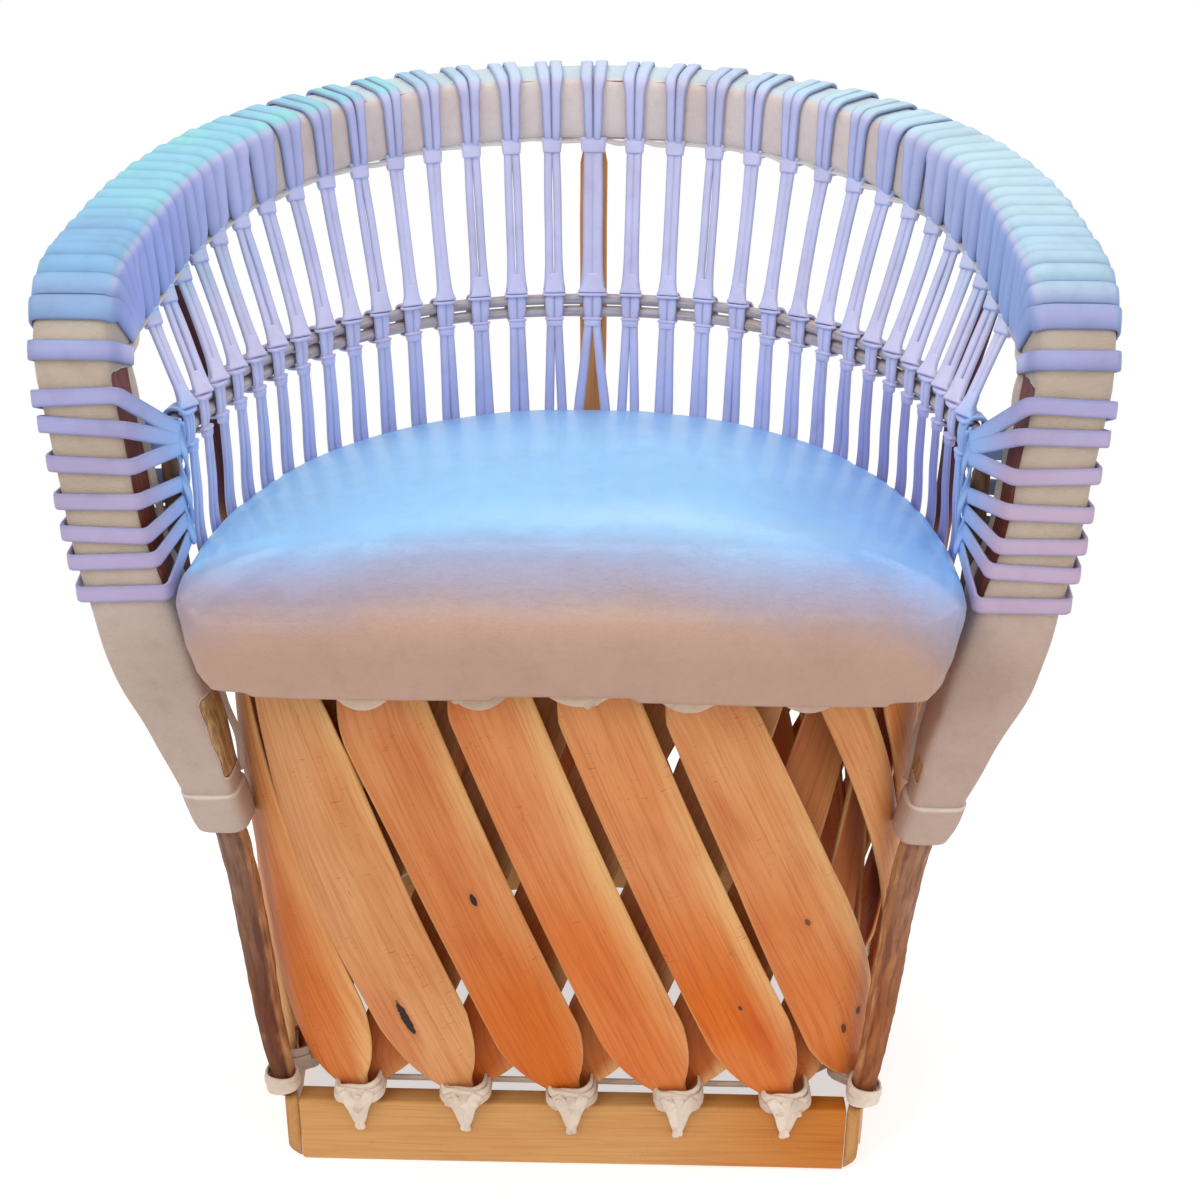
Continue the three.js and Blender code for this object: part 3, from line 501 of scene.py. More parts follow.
def ribbon(path, normal, width, thickness=LACE, lean=0.0, closed=False, crown=0.0):
    """A flat lace along a path with its face towards normal, bulged by crown (1 - (2a / width)^2).
    Its open ends are drawn in, and lean turns it about its own length by that angle in radians."""
    path = np.asarray(path, float)
    normal = np.broadcast_to(np.asarray(normal, float), path.shape)
    along, side, up = bare_frame(path, normal, closed)
    tilted = side * math.cos(lean) + up * math.sin(lean)
    up = up * math.cos(lean) - side * math.sin(lean)
    width = np.broadcast_to(np.asarray(width, float), path.shape[:1])
    a, b = soft_box(width, np.full(len(path), thickness), thickness * 0.42, across=ACROSS)
    b = b + crown * (1 - (2 * a / width[:, None]) ** 2)
    grid = sweep(path, tilted, up, (a, b))
    if closed:
        return grid
    first = path[0] - along[0] * thickness * 0.25
    last = path[-1] + along[-1] * thickness * 0.25
    return np.concatenate([[first + (grid[0] - path[0]) * 0.55], grid, [last + (grid[-1] - path[-1]) * 0.55]])


def barrel(centre, way, side, width, depth, height, flare=1.0, power=3.2):
    """A collar round a strand: sections along way, flare times as wide at its far end, with
    rounded rims."""
    t = np.array([0, 0.06, 0.2, 0.5, 0.8, 0.94, 1])
    swell = np.array([0.86, 0.97, 1, 1.02, 1, 0.97, 0.86]) * (1 + (flare - 1) * t**2.4)
    a, b = ring(power, 20)
    up = unit(np.cross(way, side))
    path = centre + way * ((t - 0.5) * height)[:, None]
    wide = width / 2 * swell
    deep = depth / 2 * (1 + (swell - 1) * 0.8)
    return path[:, None] + side * (wide[:, None] * a)[..., None] + up * (deep[:, None] * b)[..., None]


def read_points(mesh):
    """A mesh's points, in metres."""
    points = np.zeros(len(mesh.vertices) * 3, np.float32)
    mesh.vertices.foreach_get("co", points)
    return points.reshape(-1, 3).astype(float)


def read_normals(mesh):
    """The way out of a mesh at each of its points."""
    normals = np.zeros(len(mesh.vertices) * 3, np.float32)
    mesh.vertex_normals.foreach_get("vector", normals)
    return normals.reshape(-1, 3)


def write_tint(mesh, shades):
    """Gives each point a colour that shaders read, with alpha 1 where shades has none."""
    tint = np.ones((len(shades), 4), np.float32)
    tint[:, : shades.shape[1]] = np.clip(shades, 0, 1)
    mesh.attributes.new("tint", "FLOAT_COLOR", "POINT").data.foreach_set("color", tint.ravel())


class Pile:
    """Closed skins gathered into one mesh. Each skin is a grid of points, rows along it and columns
    round it. Its ends close at a point, unless its last row meets its first."""

    def __init__(self):
        self.points, self.tones, self.edges = [], [], []
        self.quads, self.tris, self.quad_uv, self.tri_uv = [], [], [], []
        self.count = 0

    def lace(self, path, normal, width, thickness=LACE, closed=False, lean=0.0, crown=0.0, **marks):
        """Adds a ribbon."""
        self.add(ribbon(path, normal, width, thickness, lean, closed, crown), closed, **marks)

    def add(self, grid, closed=False, tone=0.5, edge=0.0, uv_start=0.0):
        """Adds a skin, marked by tone and edge at each point. Its UV runs in metres: v along it and
        u round it, from a quarter of its girth."""
        rows, cols = grid.shape[:2]
        row = np.arange(rows if closed else rows - 1)[:, None]
        col = np.arange(cols)[None]
        below, right = (row + 1) % rows, (col + 1) % cols
        corners = [row * cols + col, row * cols + right, below * cols + right, below * cols + col]
        quads = np.stack(np.broadcast_arrays(*corners), -1).reshape(-1, 4)
        along = np.linalg.norm(np.diff(grid, axis=0, append=grid[:1]), axis=2).mean(1)
        v = np.concatenate([[0], np.cumsum(along)]) / 1000
        girth = np.linalg.norm(np.roll(grid, -1, axis=1) - grid, axis=2)
        u = np.concatenate([np.zeros((rows, 1)), np.cumsum(girth, axis=1)], axis=1) / 1000
        u = u - u[:, -1:] / 4 + uv_start
        u = np.vstack([u, u[:1]])
        uv = lambda i, j: np.stack(np.broadcast_arrays(u[i, j], v[i]), -1)
        quad_uv = np.stack([uv(row, col), uv(row, col + 1), uv(row + 1, col + 1), uv(row + 1, col)], 2)
        points = grid.reshape(-1, 3)
        tris = np.zeros((0, 3), int)
        tri_uv = np.zeros((0, 3, 2))
        tone = np.broadcast_to(tone, (rows, cols)).reshape(-1)
        edge = np.broadcast_to(edge, (rows, cols)).reshape(-1)
        if not closed:
            j, k = np.arange(cols), (np.arange(cols) + 1) % cols
            last = (rows - 1) * cols
            pole = rows * cols
            tris = np.vstack([
                np.stack([k, j, np.full(cols, pole)], 1),
                np.stack([last + j, last + k, np.full(cols, pole + 1)], 1),
            ])
            ends = np.repeat([0, rows - 1], cols)
            jj = np.concatenate([j, j])
            here, beside = (np.stack([u[ends, jj + step], v[ends]], 1) for step in (0, 1))
            at_start = (ends == 0)[:, None]
            first, second = np.where(at_start, beside, here), np.where(at_start, here, beside)
            middle = np.stack([np.full(2 * cols, uv_start), v[ends]], 1)
            tri_uv = np.stack([first, second, middle], 1)
            points = np.vstack([points, grid[0].mean(0), grid[-1].mean(0)])
            tone = np.concatenate([tone, [tone[0], tone[last]]])
            edge = np.concatenate([edge, [edge[0], edge[last]]])
        volume = lambda f: np.einsum("ij,ij->", points[f[:, 0]], np.cross(points[f[:, 1]], points[f[:, 2]]))
        if volume(quads[:, :3]) + volume(quads[:, [0, 2, 3]]) + volume(tris) < 0:
            quads, tris = quads[:, ::-1], tris[:, ::-1]
            quad_uv, tri_uv = quad_uv[:, :, ::-1], tri_uv[:, ::-1]
        self.points.append(points)
        self.tones.append(tone)
        self.edges.append(edge)
        self.quads.append(quads + self.count)
        self.tris.append(tris + self.count)
        self.quad_uv.append(quad_uv.reshape(-1, 2))
        self.tri_uv.append(tri_uv.reshape(-1, 2))
        self.count += len(points)

    def build(self, name, material, slot, nodes, colour):
        """The mesh object, coloured by colour(points, normals, tones, edges) at each point."""
        quads, tris = np.vstack(self.quads), np.vstack(self.tris)
        points = np.vstack(self.points)
        mesh = bpy.data.meshes.new(name)
        corners = np.concatenate([quads.ravel(), tris.ravel()]).astype(np.int32)
        starts = np.concatenate([np.arange(len(quads)) * 4, quads.size + np.arange(len(tris)) * 3])
        mesh.vertices.add(len(points))
        mesh.vertices.foreach_set("co", ((points + SHIFT) / 1000).astype(np.float32).ravel())
        mesh.loops.add(len(corners))
        mesh.loops.foreach_set("vertex_index", corners)
        mesh.polygons.add(len(starts))
        mesh.polygons.foreach_set("loop_start", starts.astype(np.int32))
        mesh.polygons.foreach_set("use_smooth", np.ones(len(starts), bool))
        mesh.update(calc_edges=True)
        uv = np.vstack(self.quad_uv + self.tri_uv).astype(np.float32)
        mesh.uv_layers.new(name="UVMap").data.foreach_set("uv", uv.ravel())
        tones, edges = np.concatenate(self.tones), np.concatenate(self.edges)
        write_tint(mesh, colour(points, read_normals(mesh), tones, edges))
        mesh.materials.append(material)
        made = bpy.data.objects.new(name, mesh)
        bpy.context.scene.collection.objects.link(made)
        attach(made, "root")
        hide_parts(*nodes)
        return made


class Shader:
    """A material being made: put() adds a node and joins or sets its inputs."""

    def __init__(self, name):
        self.material = bpy.data.materials.new(name)
        self.material.use_nodes = True
        self.nodes = self.material.node_tree.nodes
        self.links = self.material.node_tree.links
        self.surface = self.nodes["Principled BSDF"]
        self.places = self.put("TexCoord")

    def put(self, kind, inputs=None, **settings):
        node = self.nodes.new("ShaderNode" + kind)
        for key, value in settings.items():
            setattr(node, key, value)
        for key, value in (inputs or {}).items():
            self.join(node.inputs[key], value)
        return node.outputs

    def join(self, socket, value):
        """Links a socket to another, or sets it to a colour or a number."""
        if isinstance(value, bpy.types.NodeSocket):
            self.links.new(value, socket)
        elif isinstance(value, np.ndarray) and socket.type == "RGBA":
            socket.default_value = (*value, 1)
        else:
            socket.default_value = value

    def tint(self, part="Color"):
        return self.put("Attribute", attribute_name="tint")[part]

    def noise(self, place, scale, detail=4, roughness=0.55, distortion=0.0):
        inputs = {"Vector": place, "Scale": scale, "Detail": detail, "Roughness": roughness}
        return self.put("TexNoise", {**inputs, "Distortion": distortion})[0]

    def drawn(self, place, scale, detail=4, roughness=0.55, distortion=0.0):
        """Noise with a scale for each axis, drawn out along those with a small one."""
        place = self.put("Mapping", {"Vector": place, "Scale": scale})[0]
        return self.noise(place, 1.0, detail, roughness, distortion)

    def far_from(self, place, centre=(0, 0, 0), scale=(1, 1, 1)):
        """|(place - centre) scale|."""
        gap = self.put("VectorMath", {0: place, 1: centre}, operation="SUBTRACT")[0]
        gap = self.put("VectorMath", {0: gap, 1: scale}, operation="MULTIPLY")[0]
        return self.put("VectorMath", {0: gap}, operation="LENGTH")["Value"]

    def ramp(self, value, low, high, low_to=0.0, high_to=1.0):
        """Runs softly from low_to to high_to while value goes from low to high."""
        inputs = {0: value, 1: low, 2: high, 3: low_to, 4: high_to}
        return self.put("MapRange", inputs, interpolation_type="SMOOTHSTEP")[0]

    def math(self, operation, first, second=0.0):
        return self.put("Math", {0: first, 1: second}, operation=operation)[0]

    def times(self, first, second):
        return self.math("MULTIPLY", first, second)

    def blend(self, share, first, second, kind="MIX"):
        inputs = {0: share, 6: first, 7: second}
        return self.put("Mix", inputs, data_type="RGBA", blend_type=kind)[2]

    def stain(self, share, colour, dye):
        """A colour multiplied by a dye, as far as share says."""
        return self.blend(share, colour, dye, "MULTIPLY")

    def bump(self, height, distance, strength=1.0, below=None):
        inputs = {"Height": height, "Distance": distance, "Strength": strength}
        if below is not None:
            inputs["Normal"] = below
        return self.put("Bump", inputs)[0]

    def finish(self, colour, roughness, normal, **others):
        """The material, with others named as the surface's inputs in lower case."""
        self.join(self.surface.inputs["Base Color"], colour)
        self.join(self.surface.inputs["Roughness"], roughness)
        self.join(self.surface.inputs["Normal"], normal)
        for key, value in others.items():
            self.join(self.surface.inputs[key.replace("_", " ").title()], value)
        return self.material


def wood(name, colour=None, along=(1, 0, 0), roughness=0.5, contrast=1.0, knots=()):
    """Split or planed wood: fibres and growth lines drawn out along it, and a few knots."""
    made = Shader(name)
    if colour is None:
        place = made.places["UV"]
        stretch = lambda wide, long: (wide, long, 1)
        colour = made.tint()
    else:
        place = made.places["Object"]
        stretch = lambda wide, long: tuple(long if axis else wide for axis in along)
    fibre = made.drawn(place, stretch(620, 16), 4, 0.62)
    fine = made.drawn(place, stretch(2400, 50), 2, 0.6)
    rings = made.drawn(place, stretch(62, 2.0), 2, 0.5, 0.4)
    lines = made.math("PINGPONG", made.times(rings, 7.0), 0.5)
    cloud = made.drawn(place, stretch(26, 7), 3)
    flecks = made.drawn(place, stretch(420, 60), 3, 0.7)
    tears = made.drawn(place, stretch(90, 620), 3, 0.6)
    torn = made.drawn(place, stretch(30, 22), 2)
    torn = made.times(made.ramp(tears, 0.6, 0.7), made.ramp(torn, 0.52, 0.64))
    shade = made.stain(made.ramp(lines, 0.22, 0.5, 0.0, 0.3 * contrast), colour, paint(226, 190, 160))
    shade = made.stain(made.ramp(fibre, 0.45, 0.75, 0.0, 0.45 * contrast), shade, paint(206, 166, 132))
    shade = made.stain(made.ramp(cloud, 0.42, 0.75, 0.0, 0.6 * contrast), shade, paint(230, 182, 150))
    shade = made.stain(made.ramp(flecks, 0.64, 0.74, 0.0, 0.5 * contrast), shade, paint(176, 120, 86))
    shade = made.stain(made.times(torn, 0.55 * contrast), shade, paint(170, 112, 76))
    for centre, size, deep in knots:
        far = made.far_from(place, (*centre, 0), (1 / size[0], 1 / size[1], 0))
        far = made.math("ADD", far, made.times(made.noise(place, 260.0, 2), 0.7))
        shade = made.blend(made.ramp(far, 2.4, 1.2, 0.0, 0.5 * deep), shade, paint(176, 100, 50))
        shade = made.blend(made.ramp(far, 1.3, 1.1, 0.0, deep), shade, paint(46, 24, 16))
    normal = made.bump(fibre, 0.0005, 0.6)
    normal = made.bump(fine, 0.0002, 0.5, normal)
    rough = made.ramp(fibre, 0.3, 0.75, roughness - 0.06, roughness + 0.16)
    made.surface.inputs["Specular IOR Level"].default_value = 0.22
    return made.finish(shade, rough, normal)


def bark(name):
    """Bark: long shallow furrows, soft mottling and small pits, over the tint."""
    made = Shader(name)
    place = made.places["UV"]
    furrow = made.drawn(place, (240, 26, 1), 5, 0.62, 0.3)
    patch = made.drawn(place, (60, 22, 1), 4, 0.6)
    pits = made.drawn(place, (420, 240, 1), 3, 0.6)
    shade = made.stain(made.ramp(furrow, 0.36, 0.56, 0.6, 0.0), made.tint(), paint(150, 120, 100))
    shade = made.stain(made.ramp(patch, 0.42, 0.66, 0.5, 0.0), shade, paint(170, 140, 118))
    shade = made.blend(made.ramp(pits, 0.66, 0.74, 0.0, 0.5), shade, paint(84, 58, 42))
    normal = made.bump(furrow, 0.0016, 0.7)
    normal = made.bump(pits, 0.0008, 0.5, normal)
    return made.finish(shade, made.ramp(furrow, 0.3, 0.7, 0.7, 0.9), normal)


def leather(name, grain, depth, roughness, crease=0.0, coat=0.0, mottle=0.35, nick=None, torn=False):
    """Leather: a pebbled grain, soft mottling and, where crease is over 0, fine wrinkles with painted shade
    along them. It may have a dark nick at a place, and be torn open to the wood where the tint's alpha is
    under a half."""
    made = Shader(name)
    place = made.places["Object"]
    pebble = made.put(
        "TexVoronoi", {"Vector": place, "Scale": grain, "Randomness": 1.0}, feature="DISTANCE_TO_EDGE"
    )[0]
    pores = made.noise(place, grain * 1.7, 3, 0.6)
    cloud = made.noise(place, 16.0, 4, 0.6, 0.4)
    blotch = made.noise(place, 70.0, 3, 0.55)
    dark = paint(206, 190, 184)
    shade = made.stain(made.ramp(cloud, 0.4, 0.72, 0.0, mottle), made.tint(), dark)
    shade = made.stain(made.ramp(blotch, 0.5, 0.72, 0.0, mottle * 0.6), shade, dark)
    normal = made.bump(pores, depth, 0.5)
    normal = made.bump(made.ramp(pebble, 0.0, 0.25), depth, 0.6, normal)
    if crease:
        lines = made.drawn(place, (70, 160, 120), 4, 0.6, 0.5)
        ridge = made.ramp(made.math("ABSOLUTE", made.math("SUBTRACT", lines, 0.5)), 0.0, 0.04)
        normal = made.bump(ridge, crease, 0.35, normal)
        # Painted shade along the creases
        shade = made.stain(made.ramp(ridge, 0.5, 0.0, 0.0, 0.05), shade, paint(170, 150, 160))
    if nick is not None:
        far = made.far_from(place, nick)
        far = made.math("ADD", far, made.times(made.noise(place, 700.0, 2), 0.002))
        shade = made.blend(made.ramp(far, 0.0034, 0.0024), shade, paint(70, 66, 84))
    if torn:
        rough_edge = made.times(made.noise(place, 160.0, 4, 0.65), 0.5)
        whole = made.math("ADD", made.tint("Alpha"), rough_edge)
        height = made.put("SeparateXYZ", {0: place})["Z"]
        bare = made.blend(made.ramp(height, 0.4, 0.45), POST_WOOD, RED_WOOD)
        fibre = made.drawn(place, (330, 330, 16), 4, 0.65)
        bare = made.stain(made.ramp(fibre, 0.4, 0.65, 0.8, 0.0), bare, paint(176, 142, 112))
        lip = made.times(made.ramp(whole, 0.66, 0.76), made.ramp(whole, 0.96, 0.84))
        shade = made.blend(made.times(lip, 0.7), shade, paint(236, 220, 200))
        shade = made.blend(made.ramp(whole, 0.68, 0.74), bare, shade)
        rim = made.times(made.ramp(whole, 0.6, 0.68), made.ramp(whole, 0.76, 0.7))
        shade = made.blend(rim, shade, paint(92, 66, 50))
        normal = made.bump(made.ramp(whole, 0.62, 0.8), 0.0016, 0.8, normal)
        normal = made.bump(fibre, 0.0004, 0.4, normal)
    rough = made.ramp(pores, 0.3, 0.7, roughness - 0.07, roughness + 0.1)
    return made.finish(shade, rough, normal, coat_weight=coat)


def cane_skin(name):
    """Weathered cane: long streaks and darker spots over the tint."""
    made = Shader(name)
    place = made.places["UV"]
    streak = made.drawn(place, (420, 18, 1), 4, 0.6)
    spots = made.drawn(place, (110, 60, 1), 4, 0.6)
    shade = made.stain(made.ramp(streak, 0.4, 0.7, 0.0, 0.8), made.tint(), paint(208, 186, 176))
    shade = made.blend(made.ramp(spots, 0.58, 0.7, 0.0, 0.4), shade, paint(136, 112, 100))
    return made.finish(shade, made.ramp(streak, 0.3, 0.7, 0.45, 0.65), made.bump(streak, 0.0005, 0.6))


# Between the textures of two slats, and the length of a slat, both in metres
SLAT_UV_STEP = 0.4
SLAT_LENGTH = 0.41

# What an inner slat's seed is over that of the outer one with its number
INNER_SEED = 40

# The slat beside the right front corner, split narrower than the others
NARROW_SLAT = 8

# How pale the front slats are at foot and head, the rest taking theirs by chance
PALENESS = {2: (0.15, 0.8), 3: (0.8, 1.0), 4: (0.0, 0.75), 5: (0.2, 0.6), 6: (0.0, 0.7), 7: (0.3, 0.8)}


def slat_knot(number, sideways, share, size, deep=1.0):
    """A knot on an outer slat: sideways from its middle line in millimetres, at a share of its
    height, with its size in metres."""
    return (SLAT_UV_STEP * number - sideways / 1000, share * SLAT_LENGTH), size, deep


# The knots of the outer slats that show most
OUTER_KNOTS = [
    slat_knot(4, 5, 0.49, (0.0026, 0.006)),
    slat_knot(3, -9, 0.225, (0.0034, 0.019)),
    slat_knot(6, 4, 0.26, (0.0016, 0.0026), 0.8),
    slat_knot(7, 9, 0.2, (0.003, 0.005), 0.9),
    slat_knot(7, -8, 0.19, (0.0024, 0.006), 0.8),
    slat_knot(7, 0, 0.46, (0.002, 0.004), 0.7),
    slat_knot(9, -6, 0.6, (0.004, 0.008)),
    slat_knot(14, 5, 0.35, (0.004, 0.007)),
]

slat_wood = wood("oiled cedar slats", knots=OUTER_KNOTS)
inner_slat_wood = wood("cedar slats in shade", roughness=0.6)
board_wood = wood("planed pine board", roughness=0.42, contrast=0.7)
split_wood = wood("split stick")
hidden_wood = wood("rough core wood", colour=RED_WOOD, along=(0, 0, 1), roughness=0.7)
ring_wood = wood("ring of split wood", colour=SPLIT, along=(0, 0, 0), roughness=0.6)
panel_wood = wood("seat panel board", colour=BOARD, along=(1, 0, 0), roughness=0.6)
bark_wood = bark("bark on the sticks")
cane_wood = cane_skin("weathered cane")
hide_leather = leather("pigskin", 900.0, 0.00022, 0.5, crease=0.0003, mottle=0.25, torn=True)
seat_leather = leather("seat leather", 1100.0, 0.0001, 0.34, crease=0.0003, coat=0.12, mottle=0.16,
                       nick=tuple((np.array(SEAT_NICK) + SHIFT) / 1000))
lace_leather = leather("leather lace", 1500.0, 0.00008, 0.42, mottle=0.25)
rawhide_leather = leather("rawhide", 700.0, 0.0003, 0.62, crease=0.0006, mottle=0.5)


def plain_tint(colour, spread=0.12):
    """One colour, lighter or darker with each skin's tone."""
    return lambda points, normals, tones, edges: colour * (1 + spread * (2 * tones - 1))[:, None]


def edged_tint(colour, cut, spread=0.12):
    """Like plain_tint, turning to a cut colour where the edge mark is 1."""

    def tint(points, normals, tones, edges):
        return mix(plain_tint(colour, spread)(points, normals, tones, edges), cut, edges)

    return tint


# The middle line of the bent strip: half width, middle and back, and where it meets the front
STRIP_LINE = BASE_HALF - STRIP_THICKNESS / 2, BASE_MIDDLE, BASE_BACK - STRIP_THICKNESS / 2
STRIP_CORNER = BOARD_HALF + STRIP_GAP + STRIP_THICKNESS / 2

# The lines in plan that the feet and the heads of the slats follow
foot_track = d_track(*STRIP_LINE, BASE_FRONT + BOARD_THICKNESS / 2, STRIP_CORNER, FOOT_CORNER)
ring_track = d_track(
    RING_HALF - RING_THICKNESS / 2,
    RING_MIDDLE,
    RING_BACK - RING_THICKNESS / 2,
    RING_FRONT + RING_THICKNESS / 2,
    RING_FRONT_HALF,
    RING_CORNER,
)


def corner_lift(far):
    """How far the base's lower corner is rounded off, seen from the front: R - sqrt(R^2 - d^2),
    where d is how far a place is past the start of the corner."""
    start = BOARD_HALF + STRIP_GAP + STRIP_THICKNESS - BASE_CORNER
    past = np.clip(far - start, 0, BASE_CORNER)
    return BASE_CORNER - np.sqrt(np.clip(BASE_CORNER**2 - past**2, 0, None))


def board_tint(points, normals, tones, edges):
    """Pine that turns amber towards the right."""
    return mix(BOARD, BOARD_AMBER, smooth(points[:, 0], 40, 200))


def make_base():
    """The front board, with eased edges, and the bent strip round the sides and back."""
    board = Pile()
    x = np.array([-1, -0.998, -0.99, *np.linspace(-0.96, 0.96, 40), 0.99, 0.998, 1]) * (BOARD_HALF + 0.3)
    middle = BASE_FRONT + BOARD_THICKNESS / 2
    path = np.stack([x, np.full(len(x), middle), np.full(len(x), BOARD_HEIGHT / 2)], 1)
    path[:, 2] += 0.5 * np.sin(x / 90)
    drawn = np.minimum(1, 0.98 + 0.02 * (BOARD_HALF + 0.3 - np.abs(x)) / 0.4)
    section = soft_box((BOARD_THICKNESS - 0.4) * drawn, (BOARD_HEIGHT - 1.2) * drawn, EDGE_ROUND, 4)
    grid = sweep(path, np.tile([0, 1, 0], (len(x), 1)), np.tile(UP, (len(x), 1)), section)
    grid[..., 2] = np.maximum(grid[..., 2], corner_lift(np.abs(grid[..., 0])))
    board.add(grid)
    board.build("front_board", board_wood, "base_wood", ["base_front_board"], board_tint)
    right = d_half(*STRIP_LINE, BASE_FRONT, STRIP_CORNER, 0)[1:]
    bend = Track(np.vstack([right, mirrored(right[:-1][::-1])]), False)
    distance = np.linspace(0, bend.length, STRIP_STEPS)
    line = np.column_stack([bend.at(distance), np.full(STRIP_STEPS, BOARD_HEIGHT / 2)])
    _, side, up = bare_frame(line, np.tile(UP, (STRIP_STEPS, 1)))
    end = np.minimum(distance, bend.length - distance)
    section = soft_box(
        np.full(STRIP_STEPS, STRIP_THICKNESS - 0.4), np.full(STRIP_STEPS, BOARD_HEIGHT - 1), 2.6, 4
    )
    grid = sweep(line, side, up, section)
    low = grid[..., 2] < BOARD_HEIGHT / 2
    lift = corner_lift(np.abs(grid[..., 0])) * smooth(end, 34, 10)[:, None]
    grid[..., 2] = np.where(low, np.maximum(grid[..., 2], lift + 0.5), grid[..., 2])
    strip = Pile()
    strip.add(grid, tone=0.35)
    strip.build("bent_strip", board_wood, "base_wood", ["base_bent_strip"], plain_tint(BOARD))


def station_distance(track, firsts, station):
    """How far along the track a station is: the first ones have places of their own, and the rest
    share what is left up to the middle of the back. The left half mirrors the right one."""
    place = np.mod(station, SLAT_PAIRS)
    on_left = place > SLAT_PAIRS / 2
    folded = np.where(on_left, SLAT_PAIRS - place, place)
    distance = np.interp(folded, [*range(len(firsts)), SLAT_PAIRS / 2], [*firsts, track.length / 2])
    return np.where(on_left, track.length - distance, distance)


def slat_place(number, layer, share, sideways):
    """A place on the drum, on a slat's middle line at a share of its height and sideways from it."""
    station = number - layer * SLAT_SHIFT * share
    foot_distance = station_distance(foot_track, FOOT_FIRSTS, station) + sideways
    head_distance = station_distance(ring_track, HEAD_FIRSTS, station) + sideways
    share = np.broadcast_to(share, foot_distance.shape)
    plan = mix(foot_track.at(foot_distance), ring_track.at(head_distance), share)
    out = mix(
        foot_track.outward(foot_distance, SLAT_SPREAD), ring_track.outward(head_distance, SLAT_SPREAD), share
    )
    low, high = BOARD_HEIGHT + 0.4, RING_TOP - SLAT_DROP
    return raised(plan, unit(out), low + (high - low) * share)


def slat_reach(number, layer, way, share, width_share):
    """Half of a slat's width on one side, or less where the next slat is close."""

    def face(value):
        centre, out = slat_place(value, layer, share, np.zeros_like(share))
        return centre + out * (layer * (SLAT_CROSS + SLAT_THICKNESS + RING_THICKNESS / 2 * share))[..., None]

    here, beside = face(number), face(number + way)
    ends, _ = slat_place(number, layer, np.array([0.0, 1.0]), np.zeros(2))
    lean = ends[1] - ends[0]
    space = np.linalg.norm(here - beside, axis=-1) * lean[2] / np.linalg.norm(lean) - SLAT_SPACE
    side_share = np.clip((here[..., 1] - BASE_FRONT) / FOOT_FIRSTS[1], 0, 1)
    width = SLAT_WIDTH + (SIDE_SLAT_WIDTH - SLAT_WIDTH) * side_share
    return np.minimum(width / 2 * width_share, space / 2)


def slat_grid(number, layer, seed):
    """A split slat: a bowed plate with rounded edges that waves a little. Its ends are cut square to
    its own length, by a share of the height that grows with the place across it."""
    dice = np.random.default_rng(seed)
    share = (1 - np.cos(np.linspace(0, math.pi, 56))) / 2
    end = np.minimum(share, 1 - share)
    drawn = np.sqrt(np.clip(end / 0.016, 0.02, 1))
    width_share = spline(share, *zip(*PADDLE)) * (0.45 + 0.55 * drawn) * dice.uniform(0.95, 1.0)
    if layer < 0:
        width_share = np.maximum(width_share, 0.94 * smooth(share, 0.5, 0.8) * (0.6 + 0.4 * drawn))
    width_share *= 1 + 0.018 * np.sin(share * dice.uniform(7, 13) + dice.uniform(0, 6))
    low = -slat_reach(number, layer, -1, share, width_share)
    high = slat_reach(number, layer, 1, share, width_share)
    if seed == NARROW_SLAT:
        low = high - (high - low) * 0.5
    a, b = ring(3.6, 32)
    sideways = (low + high)[:, None] / 2 + (high - low)[:, None] / 2 * a
    share = np.clip(share[:, None] + layer * sideways * SLAT_SLANT, 0, 1)
    centre, out = slat_place(number, layer, share, sideways)
    standoff = SLAT_FOOT_GAP / 2 + (RING_THICKNESS / 2 + SLAT_CLEAR - SLAT_FOOT_GAP / 2) * share
    standoff = standoff + SLAT_CROSS / 2 * np.sin(math.pi * share)
    thick = SLAT_THICKNESS * drawn[:, None]
    bow = SLAT_BOW * width_share[:, None] * (1 - a**2)
    ripple = 0.35 * wander(np.stack([sideways / 9, share * 12], -1), 6.0, seed)
    away = standoff + bow + SLAT_THICKNESS / 2 + thick / 2 * b + ripple * (np.abs(b) > 0.5)
    edge = smooth(np.abs(a), 0.93, 1.0) * np.ones_like(sideways) * smooth(np.abs(b), 1.0, 0.6)
    # A painted highlight along one side of the slat's face
    highlight_share = smooth(a, 0.3, 0.95) * (0.6 + 0.4 * np.sin(share * dice.uniform(3, 7) + seed))
    edge = edge * (0.55 + 0.45 * np.sin(share * 9 + seed) ** 2)
    return centre + out * (layer * away)[..., None], edge, highlight_share


def slat_tint(shade, seed):
    """The slat's colour: deep orange that turns paler towards the head, in soft blotches, times a brightness
    that is painted shade on the inner slats, with a painted highlight by its tone and pale cut edges.
    """
    dice = np.random.default_rng(seed + 900)
    bright = 1 + 0.06 * dice.uniform(-1, 1)
    foot, head = PALENESS.get(seed, (dice.uniform(0, 0.4), dice.uniform(0.5, 0.9)))

    def tint(points, normals, tones, edges):
        height = smooth(points[:, 2], 130, 330)
        blotch = wander(points, 110.0, seed)
        pale = np.clip(foot + (head - foot) * height + 0.18 * blotch, 0, 1.1)
        shaded = mix(SLAT_DEEP, SLAT_PALE, pale) * shade * bright
        # The painted highlight by tone, then the pale cut edges
        shaded = mix(shaded, SLAT_EDGE_AND_HIGHLIGHT, 0.7 * tones)
        return mix(shaded, SLAT_EDGE_AND_HIGHLIGHT, edges * 0.7)

    return tint


